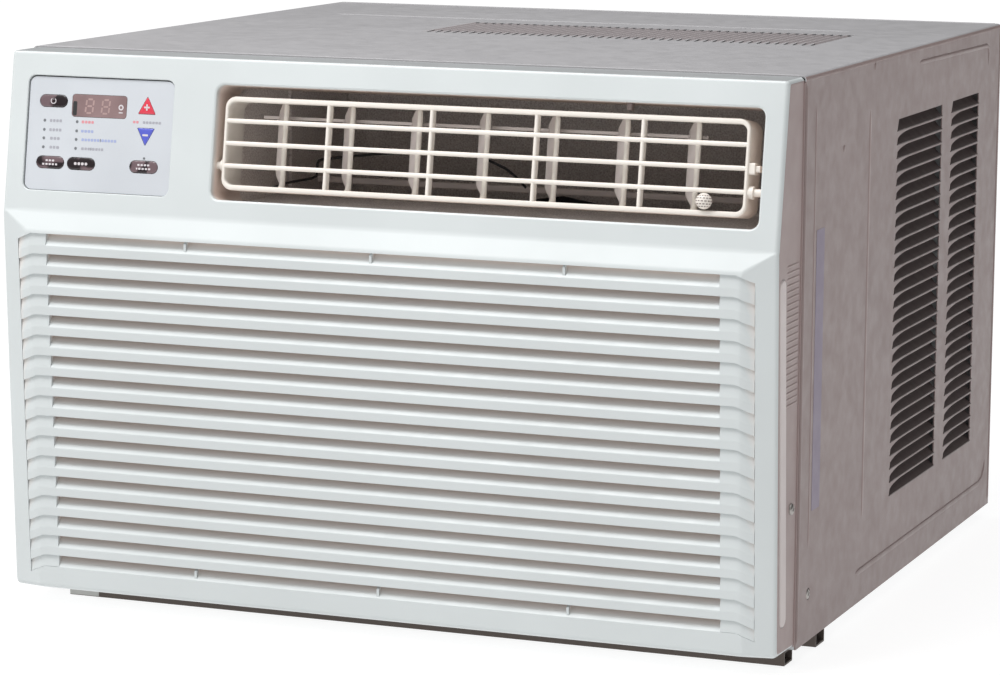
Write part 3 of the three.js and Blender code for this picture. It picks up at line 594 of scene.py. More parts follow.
# ---- Front panel ----------------------------------------------------------------------
OUTLET = (-143, 311, 13.2, 104.3, 7)
OVERLAY = (-310.4, -180.5, 13.6, 105.1, 6)
GRIP = (13, 27.8, 21, 291)
SLOT_BOTTOM, SLOT_TOP, SLOT_HALF = 18.6, 296.9, 285
INTAKE_HALF = 312
KNEE = 298
DROP = 6
EDGE = 4
FOLD_DROP = 3.5
FOLD = (CREASE[0] - FOLD_DROP * (LIP[0] - CREASE[0]) / (LIP[1] - CREASE[1]), CREASE[1] - FOLD_DROP)
BOTTOM_FALL = 4
SHOULDER_RISE = 0.9


def side_share(x):
    """0 across the middle of the panel, growing to 1 at its left and right edges."""
    start, end = 302, PANEL_HALF - EDGE
    return min(max((abs(x) - start) / (end - start), 0), 1)


def side_shoulder(x):
    """Where the lower face meets the band under the fold: it climbs the band near the sides."""
    share = SHOULDER_RISE * side_share(x)
    return tuple(BULGE[k] + share * (FOLD[k] - BULGE[k]) for k in (0, 1))


def side_fall(x, height):
    """How far the panel lies behind the lower face at x, at a height up that face."""
    slope = (BULGE[0] - TOE[0]) / (BULGE[1] - TOE[1])
    shoulder = side_shoulder(x)
    top_fall = shoulder[0] - BULGE[0] - (shoulder[1] - BULGE[1]) * slope
    bottom_fall = BOTTOM_FALL * side_share(x)
    return bottom_fall + (top_fall - bottom_fall) * height / (shoulder[1] - TOE[1])


def panel_ring(x, inset):
    """The panel's section at x, from the back of its top round the front to its underside."""
    shoulder = side_shoulder(x)
    corners = [
        (-0.3, PANEL_TOP - inset, 0.01),
        (LIP[0] + inset, LIP[1] - inset, 3),
        (FOLD[0] + inset, FOLD[1] + 0.3, 14),
        (shoulder[0] + inset, shoulder[1], 8),
        (TOE[0] + side_fall(x, 0) + inset, TOE[1] + inset, 4.5),
        (-0.3, PANEL_BOTTOM + inset, 0.01),
    ]
    return lift(filleted(corners, 5), "x", x)


def panel_body():
    """The panel as a solid, with its left and right edges rounded."""
    right = [(PANEL_HALF - behind, inward) for inward, behind in reversed(quarter(EDGE, 5))]
    right += [(304, 0), (302, 0), (150, 0), (0, 0)]
    full = right + [(-x, inset) for x, inset in right[-2::-1]]
    return loft([panel_ring(x, inset) for x, inset in full])


def intake_outline():
    """The opening for the grille, whose upper and lower edges drop at the ends like its slots."""
    return [(-INTAKE_HALF, SLOT_BOTTOM - DROP), (-KNEE, SLOT_BOTTOM), (KNEE, SLOT_BOTTOM),
            (INTAKE_HALF, SLOT_BOTTOM - DROP), (INTAKE_HALF, SLOT_TOP - DROP), (KNEE, SLOT_TOP),
            (-KNEE, SLOT_TOP), (-INTAKE_HALF, SLOT_TOP - DROP)]


def outlet_sleeve():
    """The tunnel wall behind the outlet, ending level with the cabinet's front edge."""
    wall = 3
    lean = UPPER.inverted() @ CABINET
    back_point = lean @ Vector((0, -0.3, 0))
    back_normal = (lean.to_3x3() @ Vector((0, 1, 0))).normalized()

    def ring(grow, depth=None):
        points = []
        for x, z in rounded_box(*OUTLET, grow=grow):
            y = depth
            if depth is None:
                y = back_point.y - (z - back_point.z) * back_normal.z / back_normal.y
            points.append((x, y, z))
        return points

    return loft([ring(wall, 1.5), ring(wall), ring(-4), ring(-4, 1.5)], closed=True)


def grip_ribs():
    """Fine ribs on the right wall beside the filter's handle, for the fingers."""
    ribs = []
    count, top, bottom = 23, TOP - 142, TOP - 249
    for i in range(count):
        z = top + (bottom - top) * i / (count - 1)
        ribs.append(bead(run((PANEL_HALF, -36, z), (PANEL_HALF, -3, z), 3), 2, 0.55, (1, 0, 0)))
    return join(*ribs)


def front_panel():
    """The moulding: hollow behind, with the outlet, the seat of the key film and the intake cut out."""
    body = panel_body()
    wall = 3
    inner = [(3, PANEL_TOP - wall), (LIP[0] + wall, PANEL_TOP - wall), (FOLD[0] + wall + 1, FOLD[1]),
             (BULGE[0] + wall + 9, BULGE[1]), (TOE[0] + wall + 4, PANEL_BOTTOM + wall),
             (3, PANEL_BOTTOM + wall)]
    body = boolean(body, prism(inner, "x", -PANEL_HALF + wall, PANEL_HALF - wall))
    sleeve = moved(outlet_sleeve(), CABINET.inverted() @ UPPER)
    body = boolean(body, sleeve, "UNION")
    to_upper, to_lower = CABINET.inverted() @ UPPER, CABINET.inverted() @ LOWER
    outlet = flared_cutter(lambda grow: rounded_box(*OUTLET, grow=grow), 0, 90, 1.6)
    x0, x1, z0, z1, corner = OVERLAY
    seat = (x0 - 0.7, x1, z0, z1 + 0.5, corner)
    control = flared_cutter(lambda grow: rounded_box(*seat, grow=grow + 0.3), 0, 12, 0.7)
    intake = prism(intake_outline(), "y", -6, 14)
    notch = prism(rounded_box(*GRIP, 7, 6, 0.6), "x", PANEL_HALF - wall - 1, PANEL_HALF + 3)
    tools = join(moved(join(outlet, control), to_upper), moved(join(intake, notch), to_lower))
    return boolean(body, tools)


shell = piece("front_panel_shell", join(front_panel(), grip_ribs()), CABINET, "chassis",
              panel_plastic, ["front_panel"])
# The flanges beside the panel carry the painted shade of its sides.
for flip, side in ((1, "right"), (-1, "left")):
    near, far = flip * (PANEL_HALF - 1), flip * (HALF - 0.5)
    flange = block(min(near, far), max(near, far), -1.6, 0.2, PANEL_BOTTOM + 1, TOP - 6)
    piece(f"panel_flange_{side}", flange, CABINET, "chassis", panel_side_shade, bevel=0.3)
# The shell's faces take painted shade: warm inside the outlet sleeve, darker on the side walls and the top.
for finish in (sleeve_shaded_plastic, panel_side_shade, panel_top_shade):
    shell.data.materials.append(finish)
SLEEVE, WALL, TOP_EDGE = 1, 2, 3
SKIN = 0.4
AROUND = 6
for face in shell.data.polygons:
    x, y, z = UPPER.inverted() @ face.center
    beside = OUTLET[0] - AROUND < x < OUTLET[1] + AROUND
    level = OUTLET[2] - AROUND < z < OUTLET[3] + AROUND
    if beside and level and y > 0.7:
        face.material_index = SLEEVE
    elif abs(face.center.x) > (PANEL_HALF - SKIN) * MM:
        face.material_index = WALL
    # Top faces take the painted shade.
    elif face.center.z > (PANEL_TOP - SKIN) * MM:
        face.material_index = TOP_EDGE


# ---- Intake grille --------------------------------------------------------------------
BLADES = 17
LIP_HEIGHT = 7
PITCH = (SLOT_TOP - SLOT_BOTTOM + LIP_HEIGHT) / BLADES


def shingle_outline(x):
    """Saw-tooth section of the closed ends of the grille, from the top down and back up behind."""
    drop = DROP * min(max((abs(x) - KNEE) / (INTAKE_HALF - KNEE), 0), 1)
    depth = 1.9
    back = 12
    corners = [(back, SLOT_TOP - 0.1 - drop, 0.01),
               (depth + side_fall(x, SLOT_TOP), SLOT_TOP - 0.1 - drop, 0.01)]
    for i in range(BLADES - 1, 0, -1):
        edge = SLOT_BOTTOM + i * PITCH - LIP_HEIGHT - drop
        fall = side_fall(x, edge) + 0.05
        corners.append((fall, edge + LIP_HEIGHT, 1.1))
        corners.append((fall, edge, 0.5))
        corners.append((depth + fall, edge + 0.1, 0.01))
    corners.append((side_fall(x, SLOT_BOTTOM) + 0.3, SLOT_BOTTOM + 0.1 - drop, 0.3))
    corners.append((back, SLOT_BOTTOM + 0.1 - drop, 0.01))
    return filleted(corners, 3)


def shingles(side):
    """The closed end of the grille at one side."""
    stations = [SLOT_HALF, KNEE - 1.5, KNEE + 1.5, 302, 307, INTAKE_HALF - 0.3]
    return loft([lift(shingle_outline(side * x), "x", side * x) for x in stations])


def blade(i):
    """One slat: a lip flush with the face, then a web that climbs behind the slat above."""
    edge = SLOT_BOTTOM + i * PITCH - LIP_HEIGHT
    lip_top = edge + LIP_HEIGHT
    back, web = 9, 2.2
    rise = PITCH - LIP_HEIGHT - 0.6
    corners = [(0, edge, 0.6), (0, lip_top, 1.4), (back, lip_top + rise, 0.5),
               (back, lip_top + rise - web, 0.5), (web, lip_top - 1, 1.5), (web, edge, 0.4)]
    return prism(filleted(corners, 4), "x", -SLOT_HALF - 0.5, SLOT_HALF + 0.5)


def sill_blade():
    """The lowest web, which starts at the panel's bottom band."""
    rise = PITCH - LIP_HEIGHT - 0.6
    corners = [(0.2, SLOT_BOTTOM - 2, 0.4), (0.2, SLOT_BOTTOM, 0.8), (9, SLOT_BOTTOM + rise, 0.5),
               (9, SLOT_BOTTOM + rise - 2.2, 0.5), (2.6, SLOT_BOTTOM - 2, 0.4)]
    return prism(filleted(corners, 4), "x", -SLOT_HALF - 0.5, SLOT_HALF + 0.5)


def grille_ribs():
    """Uprights behind the slats, and the stubs that join them to the frame."""
    ribs = []
    for x in (-160.5, 0, 160.5):
        upright = rounded_box(x - 1.1, x + 1.1, 9.1, 12, 0.5, 3)
        ribs.append(prism(upright, "z", SLOT_BOTTOM - 3, SLOT_TOP + 3))
        for z in (SLOT_BOTTOM + 1, SLOT_TOP - 8.5):
            corners = [(1.2, z, 0.5), (1.2, z + 6.5, 0.5), (8, z + 10, 0.5), (8, z, 0.5)]
            ribs.append(prism(filleted(corners, 2), "x", x - 1, x + 1))
    return ribs


blades = [blade(i) for i in range(1, BLADES)]
grille = join(shingles(1), shingles(-1), sill_blade(), *blades, *grille_ribs())
piece("slatted_grille", grille, LOWER, "chassis", grille_shaded_plastic, ["intake_grille"])


# ---- Air filter -----------------------------------------------------------------------
filter_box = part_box("filter_frame")
FILTER = {
    "left": -300, "right": 322, "bottom": 22, "top": 290,
    "front": 18.5, "back": 22.5, "border": 8,
}
GRIP_RIGHT = filter_box[1].x / MM


def filter_shape():
    """A ring with a grid of thin bars behind its net, and the grip edge at its right end."""
    f = FILTER
    x0, x1 = f["left"], f["right"]
    outer = rounded_box(x0, x1, f["bottom"], f["top"], 2, 3)
    inner = rounded_box(x0, x1, f["bottom"], f["top"], 2, 3, -f["border"])
    ring = loft([lift(outer, "y", f["back"]), lift(outer, "y", f["front"]),
                 lift(inner, "y", f["front"]), lift(inner, "y", f["back"])], closed=True)
    parts = [ring]
    left, right = x0 + f["border"] - 1, x1 - f["border"] + 1
    low, high = f["bottom"] + f["border"] - 1, f["top"] - f["border"] + 1
    for i in range(1, 10):
        x = left + (right - left) * i / 10
        upright = rounded_box(x - 1, x + 1, f["back"] - 1.3, f["back"], 0.4, 2)
        parts.append(prism(upright, "z", low, high))
    for i in range(1, 4):
        z = low + (high - low) * i / 4
        level = rounded_box(f["back"] - 1.2, f["back"] - 0.1, z - 1, z + 1, 0.4, 2)
        parts.append(prism(level, "x", left, right))
    grip_edge = 1.4
    rings = [lift(rounded_box(*GRIP, 6.6, 8), "x", x1 - 1)]
    for inward, behind in quarter(grip_edge):
        outline = rounded_box(*GRIP, 6.6, 8, -inward)
        rings.append(lift(outline, "x", GRIP_RIGHT - behind))
    parts.append(loft(rings))
    return join(*parts)


piece("slide_out_filter", filter_shape(), LOWER, "filter", filter_shaded_plastic,
      ["filter_frame"])
dress("filter_mesh", net, 0.1)


# ---- Swivelling louvre ----------------------------------------------------------------
LOUVER = {
    "left": -137, "right": 299, "bottom": 21.6, "top": 95.9,
    "face": 5, "depth": 30, "wall": 3, "corner": 9,
}
PIVOT_HEIGHT = LOUVER["bottom"] + 19.3
PIVOT_DEPTH = LOUVER["face"] + 6
BAR_PITCH = (LOUVER["top"] - LOUVER["bottom"] - LOUVER["wall"]) / 4
VANES = 7
VANE_PITCH = 57.2
VANE_TURN = math.radians(42)
VANE_DEPTH = LOUVER["face"] + 14
TIE_HEIGHT = LOUVER["top"] - 14.4
RIB_OFFSETS = (1.3, 2, 2.4, 2.4)


def louver_shape():
    """The tilting frame: a rounded rim with three bars, four ribs, two pivots and a lug."""
    f = LOUVER
    face, back, wall = f["face"], f["face"] + f["depth"], f["wall"]

    def outline(inward, tall):
        return rounded_box(f["left"] + inward, f["right"] - inward, f["bottom"] + tall, f["top"] - tall,
                           f["corner"] - inward, 8)

    rail = 4.2
    section = [(0, 0, back), (0, 0, face + 1.6), (0.25, 0.3, face + 0.7), (0.8, 1, face + 0.15),
               (1.5, 2.1, face), (2.3, 3.3, face + 0.15), (2.8, 3.9, face + 0.7), (wall, rail, face + 1.6),
               (wall, rail, face + 6), (wall, wall, face + 7.5), (wall, wall, back)]
    parts = [loft([lift(outline(inward, tall), "y", y) for inward, tall, y in section], closed=True)]
    bar_half = 1.8
    for i in (1, 2, 3):
        z = f["bottom"] + wall / 2 + i * BAR_PITCH
        bar = rounded_box(face + 0.1, face + 7, z - bar_half, z + bar_half, 1.5, 5)
        parts.append(prism(bar, "x", f["left"] + 1, f["right"] - 1))
    cell = (f["right"] - f["left"] - wall) / 5
    for i, offset in enumerate(RIB_OFFSETS, 1):
        x = f["left"] + wall / 2 + i * cell + offset
        rib = rounded_box(x - 1.5, x + 1.5, face + 0.4, face + 8, 1.3, 4)
        parts.append(prism(rib, "z", f["bottom"] + 1, f["top"] - 1))
    for x0, x1 in ((OUTLET[0] - 1.5, f["left"] + 1), (f["right"] - 1, OUTLET[1] + 1.5)):
        pin = circle(PIVOT_DEPTH, PIVOT_HEIGHT, 3, 20)
        collar = circle(PIVOT_DEPTH, PIVOT_HEIGHT, 5, 20)
        parts.append(prism(pin, "x", x0, x1))
        near = x1 - 3 if x0 < 0 else x0
        parts.append(prism(collar, "x", near, near + 5 if x0 > 0 else near + 3))
    lug = PIVOT_HEIGHT + BAR_PITCH
    boss = rounded_box(PIVOT_DEPTH - 4.5, PIVOT_DEPTH + 4.5, lug - 4.5, lug + 4.5, 1.5, 4)
    parts.append(prism(boss, "x", f["right"] - 1, f["right"] + 4.5))
    parts.append(prism(rounded_box(PIVOT_DEPTH - 3, PIVOT_DEPTH + 3, lug - 2.5, lug + 2.5, 1.2, 4),
                       "x", f["right"] - 1, f["right"] + 8))
    return join(*parts)


def vane_x(i):
    return (LOUVER["left"] + LOUVER["right"]) / 2 + (i - (VANES + 1) / 2) * VANE_PITCH


def turned_vane(shape, i):
    """A shape drawn about a vane's own axis, put where vane i stands and turned with it."""
    place = Matrix.Translation((vane_x(i), VANE_DEPTH, 0)) @ Matrix.Rotation(VANE_TURN, 4, "Z")
    return moved(shape, place)


def vane_shape():
    """A thin blade with softened rims, its two pins and the tab that the tie bar holds."""
    low = LOUVER["bottom"] + LOUVER["wall"]
    high = LOUVER["top"] - LOUVER["wall"]
    corners = [(-2.4, low + 0.5, 0.8), (2.4, low + 0.5, 0.8), (2.2, low + 4, 3), (14, low + 12, 5),
               (14, high - 7, 4), (6, high - 0.6, 3), (-3, high - 0.6, 1.5), (-4, high - 3, 1.5),
               (-4, low + 8, 3), (-2, low + 4, 3)]
    outline = filleted(corners, 4)
    thick = 0.95
    middle = Vector((2, (low + high) / 2))

    def shrunk(amount):
        points = []
        for a, b in outline:
            towards = middle - Vector((a, b))
            points.append(tuple(Vector((a, b)) + Vector((towards.x, towards.y * 0.2)).normalized() * amount))
        return points

    stations = [(0.5, -thick), (0.15, 0.2 - thick), (0, 0.5 - thick), (0, thick - 0.5),
                (0.15, thick - 0.2), (0.5, thick)]
    rings = [lift(shrunk(inward), "x", x) for inward, x in stations]
    pins = [prism(circle(0, 0, 1.6, 12), "z", low - 1.8, low + 3),
            prism(circle(0, 0, 1.6, 12), "z", high - 3, high + 1.8)]
    tab = prism(rounded_box(-2.6, 2.6, 9, 15, 1, 3), "z", TIE_HEIGHT - 3.3, TIE_HEIGHT - 1.5)
    return join(loft(rings), tab, *pins)


def vane_spine():
    """The thick rounded front edge of a vane, flared at its foot."""
    low = LOUVER["bottom"] + LOUVER["wall"]
    high = LOUVER["top"] - LOUVER["wall"]
    stations = [(low + 0.4, 2.9, -1.6), (low + 1.6, 2.8, -1.8), (low + 4, 2.3, -2.7),
                (low + 8, 2.1, -3.2), (high - 6, 2.1, -3.2), (high - 2, 1.9, -3.0),
                (high - 0.5, 1.4, -2.6)]
    return loft([lift(circle(0, y, radius, 16), "z", z) for z, radius, y in stations])


KNOB_RADIUS = 6.2
KNOB_CENTRE = Vector((0, -20, LOUVER["bottom"] + 11))


def on_knob(longitude, latitude, radius):
    """A point round the middle of the knob, from two angles in radians."""
    level = math.cos(latitude)
    away = Vector((math.cos(longitude) * level, math.sin(longitude) * level, math.sin(latitude)))
    return KNOB_CENTRE + away * radius


def knob_shape():
    """A ball on a flat stem."""
    rows, columns = 20, 32
    rings = [[on_knob(2 * math.pi * c / columns, math.pi * (r / rows - 0.5), KNOB_RADIUS)
              for c in range(columns)] for r in range(1, rows)]
    stem = prism(rounded_box(-1.2, 1.2, -15, -5.2, 0.5, 3), "z", KNOB_CENTRE.z - 2, KNOB_CENTRE.z + 2)
    return join(loft(rings), stem)


def knob_grooves():
    """Rows of short dark tiles round the ball, painted shade standing in for grip grooves."""
    grooves = []
    columns, half_width, half_height = 14, math.radians(8.5), math.radians(4)
    for row in range(-2, 3):
        latitude = math.radians(21 * row)
        for c in range(columns):
            middle = 2 * math.pi * (c + 0.5 * (row % 2)) / columns
            rings = []
            for k in range(5):
                at = middle + half_width * (k / 2 - 1)
                rings.append([on_knob(at, latitude + way * half_height, KNOB_RADIUS + out)
                              for way, out in ((-1, -0.3), (1, -0.3), (1, 0.06), (-1, 0.06))])
            grooves.append(loft(rings))
    return join(*grooves)


piece("louver_grid", louver_shape(), UPPER, "louver", cream, ["louver_frame"])
for i in range(1, VANES + 1):
    piece(f"air_vane_{i}", turned_vane(vane_shape(), i), UPPER, f"vane_{i}", shaded_cream,
          [f"vane_{i}"], limit=50)
    piece(f"vane_spine_{i}", turned_vane(vane_spine(), i), UPPER, f"vane_{i}", cream)
piece("knurled_knob", turned_vane(knob_shape(), VANES), UPPER, "vane_7", cream,
      ["vane_knob"], limit=80)
piece("knob_grooves", turned_vane(knob_grooves(), VANES), UPPER, "vane_7", groove_shade)
dress("tie_bar", shaded_cream, 0.6)


# ---- Control panel --------------------------------------------------------------------
FILM_DEPTH = 1.5
CAP_FACE = 0.95
WINDOW_DEPTH = FILM_DEPTH - 0.1
PILL = (25, 9.8)
KEYS = {
    "power_button": (-288.3, 85.6, "pill"),
    "fan_speed_button": (-288.3, 36, "pill"),
    "mode_button": (-260.3, 36, "pill"),
    "timer_button": (-204, 36, "pill"),
    "temperature_up_button": (-204, 85.2, "up"),
    "temperature_down_button": (-204, 60, "down"),
}
WINDOW = (-271.3, -222.3, 73.8, 91.8, 2.5)


def key_outline(x, z, kind, grow):
    """A pill, or a triangle that points up or down."""
    if kind == "pill":
        w, h = PILL[0] / 2, PILL[1] / 2
        return rounded_box(x - w, x + w, z - h, z + h, h - 0.01, 8, grow)
    way = 1 if kind == "up" else -1
    half, tall = 7.6 + grow * 1.7, 6.9 + grow
    corners = [(x - half, z - way * tall, 0.8), (x + half, z - way * tall, 0.8),
               (x, z + way * (tall + grow), 0.8)]
    if way < 0:
        corners.reverse()
    return filleted(corners, 5)


def overlay_shape():
    plate = pad(lambda grow: rounded_box(*OVERLAY, grow=grow), FILM_DEPTH, 4, 0.3)
    holes = [prism(key_outline(x, z, kind, 0.3), "y", 0, 6) for x, z, kind in KEYS.values()]
    return boolean(plate, join(prism(rounded_box(*WINDOW, grow=0.25), "y", 0, 6), *holes))


def key_shape(x, z, kind):
    """A cap that bellies out a little, standing on its hidden flange."""
    stations = [(1.0, 5.6), (1.0, 4.4), (0, 4.3), (0, 1.55), (-0.25, 1.25), (-0.8, 1.08), (-2.2, CAP_FACE)]
    return loft([lift(key_outline(x, z, kind, grow), "y", depth) for grow, depth in stations])


def bar(x, z, width, height, depth=FILM_DEPTH, radius=None):
    """A printed bar: a thin raised tile with round corners."""
    radius = height * 0.3 if radius is None else radius
    outline = rounded_box(x - width / 2, x + width / 2, z - height / 2, z + height / 2, radius, 3)
    return prism(outline, "y", depth - 0.08, depth + 0.2)


def dashes(x, z, widths, height, gap=0.9, depth=FILM_DEPTH):
    """A row of bars that stands in for a printed word."""
    total = sum(widths) + gap * (len(widths) - 1)
    at = x - total / 2
    tiles = []
    for width in widths:
        tiles.append(bar(at + width / 2, z, width, height, depth))
        at += width + gap
    return join(*tiles)


def printed(name, shape, material, body="chassis"):
    piece(name, shape, UPPER, body, material)


def mark_ring(x, z, outer, inner, depth, start=0.0, sweep=360.0):
    """A printed ring, or an arc of one."""
    steps = 24
    whole = sweep >= 360
    count = steps if whole else steps + 1
    rings = []
    for k in range(count):
        a = math.radians(start + sweep * k / steps)
        c, s = math.cos(a), math.sin(a)
        corners = [(outer, depth - 0.08), (inner, depth - 0.08), (inner, depth + 0.2), (outer, depth + 0.2)]
        rings.append([(x + radius * c, y, z + radius * s) for radius, y in corners])
    return loft(rings, closed=whole)


def seven_segment(x, z, width, height, stroke, depth):
    """All seven bars of a digit, leaning a little, as they show when the display is off."""
    half, tall = width / 2, height / 2
    flat = width - stroke * 1.5
    upright = tall - stroke * 0.9
    bars = [(0, tall, flat, stroke), (0, 0, flat, stroke), (0, -tall, flat, stroke)]
    bars += [(side * half, way * tall / 2, stroke, upright) for side in (-1, 1) for way in (-1, 1)]
    tiles = []
    for dx, dz, w, h in bars:
        points, faces = bar(0, 0, w, h, depth, stroke * 0.3)
        tiles.append(([(x + dx + px + (dz + pz) * 0.09, y, z + dz + pz) for px, y, pz in points], faces))
    return join(*tiles)


piece("key_film", overlay_shape(), UPPER, "chassis", overlay_film, ["control_overlay"])
key_finish = {"pill": (key_black, "key_dark"), "up": (key_red, "key_red"), "down": (key_blue, "key_blue")}
for name, (x, z, kind) in KEYS.items():
    finish, slot_name = key_finish[kind]
    piece(f"{name}_cap", key_shape(x, z, kind), UPPER, name, finish, [name], limit=40)

power_x, power_z, _ = KEYS["power_button"]
power_mark = join(mark_ring(power_x, power_z, 2.5, 1.8, CAP_FACE, 125, 290),
                  bar(power_x, power_z + 1.6, 0.8, 2.6, CAP_FACE))
printed("power_mark", power_mark, white_ink, "power_button")
# Rows of dashes: (height above the middle of the key, widths, bar height)
KEY_WORDS = {
    "fan_speed": [(1.5, (2, 2, 2), 1.5), (-1.5, (2, 2, 2, 2, 2), 1.5)],
    "mode": [(0, (2.3, 2.3, 2.3, 2.3), 2.2)],
    "timer": [(1.5, (2, 2, 2, 2), 1.5), (-1.5, (1.2, 2, 2, 2, 2), 1.5)],
}
for name, rows in KEY_WORDS.items():
    x, z, _ = KEYS[f"{name}_button"]
    words = [dashes(x, z + rise, widths, height, depth=CAP_FACE) for rise, widths, height in rows]
    printed(f"{name}_mark", join(*words), white_ink, f"{name}_button")
up_x, up_z, _ = KEYS["temperature_up_button"]
plus = join(bar(up_x, up_z - 1.6, 5, 1.4, CAP_FACE), bar(up_x, up_z + 0.05, 1.4, 1.9, CAP_FACE),
            bar(up_x, up_z - 3.25, 1.4, 1.9, CAP_FACE))
printed("plus_mark", plus, white_ink, "temperature_up_button")
down_x, down_z, _ = KEYS["temperature_down_button"]
minus = bar(down_x, down_z + 1.4, 5, 1.5, CAP_FACE)
printed("minus_mark", minus, white_ink, "temperature_down_button")

window = pad(lambda grow: rounded_box(*WINDOW, grow=grow), WINDOW_DEPTH, 4, 0.25)
piece("display_glass", window, UPPER, "chassis", smoke, ["display_window"])
printed("display_dark_end", bar(WINDOW[0] + 2.6, 80.4, 3.6, 11.5, WINDOW_DEPTH, 1.2), black_plastic)
digits = join(*[seven_segment(x, 82.6, 6.4, 11, 1.5, WINDOW_DEPTH) for x in (-255.5, -241)])
piece("display_digits", digits, UPPER, "chassis", digit_ink)
degree = join(mark_ring(-227.3, 82.6, 2.3, 1.2, WINDOW_DEPTH), bar(-227.3, 78.4, 3.6, 0.9, WINDOW_DEPTH))
printed("display_mark", degree, white_ink)

LAMP_ROWS = (69.7, 62.3, 55.4, 48.2)
lamps = [prism(circle(x, z, 1.2, 16), "y", FILM_DEPTH - 0.15, FILM_DEPTH + 0.3)
         for x in (-295.4, -266) for z in LAMP_ROWS]
lamps.append(prism(circle(-204, 42.9, 1.0, 16), "y", FILM_DEPTH - 0.15, FILM_DEPTH + 0.3))
printed("indicator_lamps", join(*lamps), lamp)
speed_words = [(2.2, 2.2, 2.2, 2.2), (2.2, 2.2, 2.2, 2.2), (2.6, 2.4, 2.4), (2.2, 2.4, 2.6)]
rows = [dashes(-285.4, z, widths, 2.3, 0.7) for z, widths in zip(LAMP_ROWS, speed_words)]
rows.append(dashes(-251, LAMP_ROWS[3], (2.4, 2.2, 2.2, 0.6, 2.4, 2.2, 1.6, 2.2), 2.1, 0.6))
rows.append(dashes(-199, 71.6, (2.2, 2.2, 2.2, 2.2, 2.2, 2.2), 2.0, 0.6))
printed("grey_legends", join(*rows), grey_ink)
red = join(dashes(-256.5, LAMP_ROWS[0], (2.4, 2.2, 2.4, 2.2), 2.2, 0.6),
           dashes(-213.4, 71.6, (2.2, 2.2), 2.0, 0.6))
printed("red_legends", red, red_ink)
two_words = (2.2,) * 6 + (0.6,) + (2.2,) * 5
blue = join(dashes(-256.5, LAMP_ROWS[1], (2.4, 2.4, 2.4, 2.2), 2.2, 0.6),
            dashes(-245.5, LAMP_ROWS[2], two_words, 2.2, 0.6))
printed("blue_legends", blue, blue_ink)
dress("display_module", black_plastic)
dress("control_board", board_green, 0.2)


# ---- Cabinet --------------------------------------------------------------------------
SHEET = 1
SHEET_TOP = TOP - 0.6
BEND = 3.5
SIDE_TOP = TOP - 1.5 - BEND
VENT_ROWS, VENT_BOTTOM, VENT_TOP, VENT_OPEN = 28, 85, 400, 0.795
VENT_PITCH = (VENT_TOP - VENT_BOTTOM) / (VENT_ROWS - 1 + VENT_OPEN)
VENT_HEIGHT = VENT_PITCH * VENT_OPEN
VENT_COLUMNS = ((262, 406), (438, 533))
TOP_SLOTS, TOP_LEFT, TOP_RIGHT, TOP_FRONT, TOP_BACK = 45, -105, 250, 286, 412


def vent_slot(front, back, z, plain):
    """Outline of one louvre opening in a side; all but the top one are swept at the front end."""
    h = VENT_HEIGHT
    if plain:
        return [(front, z), (back, z), (back, z + h), (front + 4, z + h)]
    sweep = [(36, 1.0), (25, 0.95), (15, 0.85), (7, 0.7), (1.5, 0.52)]
    return [(front, z), (back, z), (back, z + h)] + [(front + a, z + h * b) for a, b in sweep]


def vent_blade(front, back, z):
    """The blade inside an opening: from the lower lip it curves inward and up."""
    h = VENT_HEIGHT
    thick = 0.8
    outer = [(HALF + 0.45, z - 0.9), (HALF + 0.5, z - 0.1), (HALF - 0.6, z + 0.45),
             (HALF - 3, z + 0.25 * h), (HALF - 5.4, z + 0.55 * h), (HALF - 7.2, z + 0.98 * h)]
    inner = [(x - thick, up) for x, up in reversed(outer[2:])] + [(HALF - 1.2, z - 0.9)]
    return prism(outer + inner, "y", front - 0.3, back + 0.3)


def cabinet_side():
    """The right side: its sheet with the ridges near its edges, its two long creases, its blades."""
    outline = [(HALF - SHEET, 12), (HALF, 12), (HALF, SIDE_TOP), (HALF - SHEET, SIDE_TOP)]
    sheet = prism(outline, "y", 0.0, DEPTH)
    cuts, blades = [], []
    for front, back in VENT_COLUMNS:
        for i in range(VENT_ROWS):
            z = VENT_BOTTOM + i * VENT_PITCH
            cuts.append(prism(vent_slot(front, back, z, i == VENT_ROWS - 1), "x", HALF - 3, HALF + 3))
            blades.append(vent_blade(front, back, z))
    cuts.append(prism(circle(31, 50, 4.9), "x", HALF - 3, HALF + 3))
    sheet = boolean(sheet, join(*cuts))
    out = (1, 0, 0)
    ridges = [
        bead(run((HALF, 3.2, 16), (HALF, 3.2, SIDE_TOP - 3), 3), 4.4, 0.7, out),
        bead(run((HALF, DEPTH - 3, 16), (HALF, DEPTH - 3, SIDE_TOP - 3), 3), 4.4, 0.7, out),
        bead([(HALF, 165, TOP - 419), (HALF, 172, TOP - 419), (HALF, 570, TOP - 419), (HALF, 582, TOP - 416),
              (HALF, 590, TOP - 408), (HALF, 593, TOP - 400)], 5, 1.0, out),
        bead([(HALF, 328, TOP - 15), (HALF, 336, TOP - 15), (HALF, 558, TOP - 17), (HALF, 564, TOP - 19),
              (HALF, 566, TOP - 24), (HALF, 566, TOP - 36)], 4, 0.9, out),
    ]
    # The long creases carry the painted highlight.
    creases = [
        bead(run((HALF, 180, TOP - 376), (HALF, 180, TOP - 41), 9), 5, 0.6, out),
        bead(run((HALF, 28.5, TOP - 372), (HALF, 28.5, TOP - 26), 8), 2.6, 0.5, out),
    ]
    dimples = [moved(lathe([(3.2, 0.05), (2.8, -0.25), (1.8, -0.5), (0.4, -0.6)], 0, 0, 20),
                     Matrix.Translation((HALF, y, z)) @ Matrix.Rotation(math.radians(90), 4, "Z"))
               for y, z in ((106, TOP - 66), (191, TOP - 8))]
    return join(sheet, *ridges, *dimples), join(*creases), join(*blades)


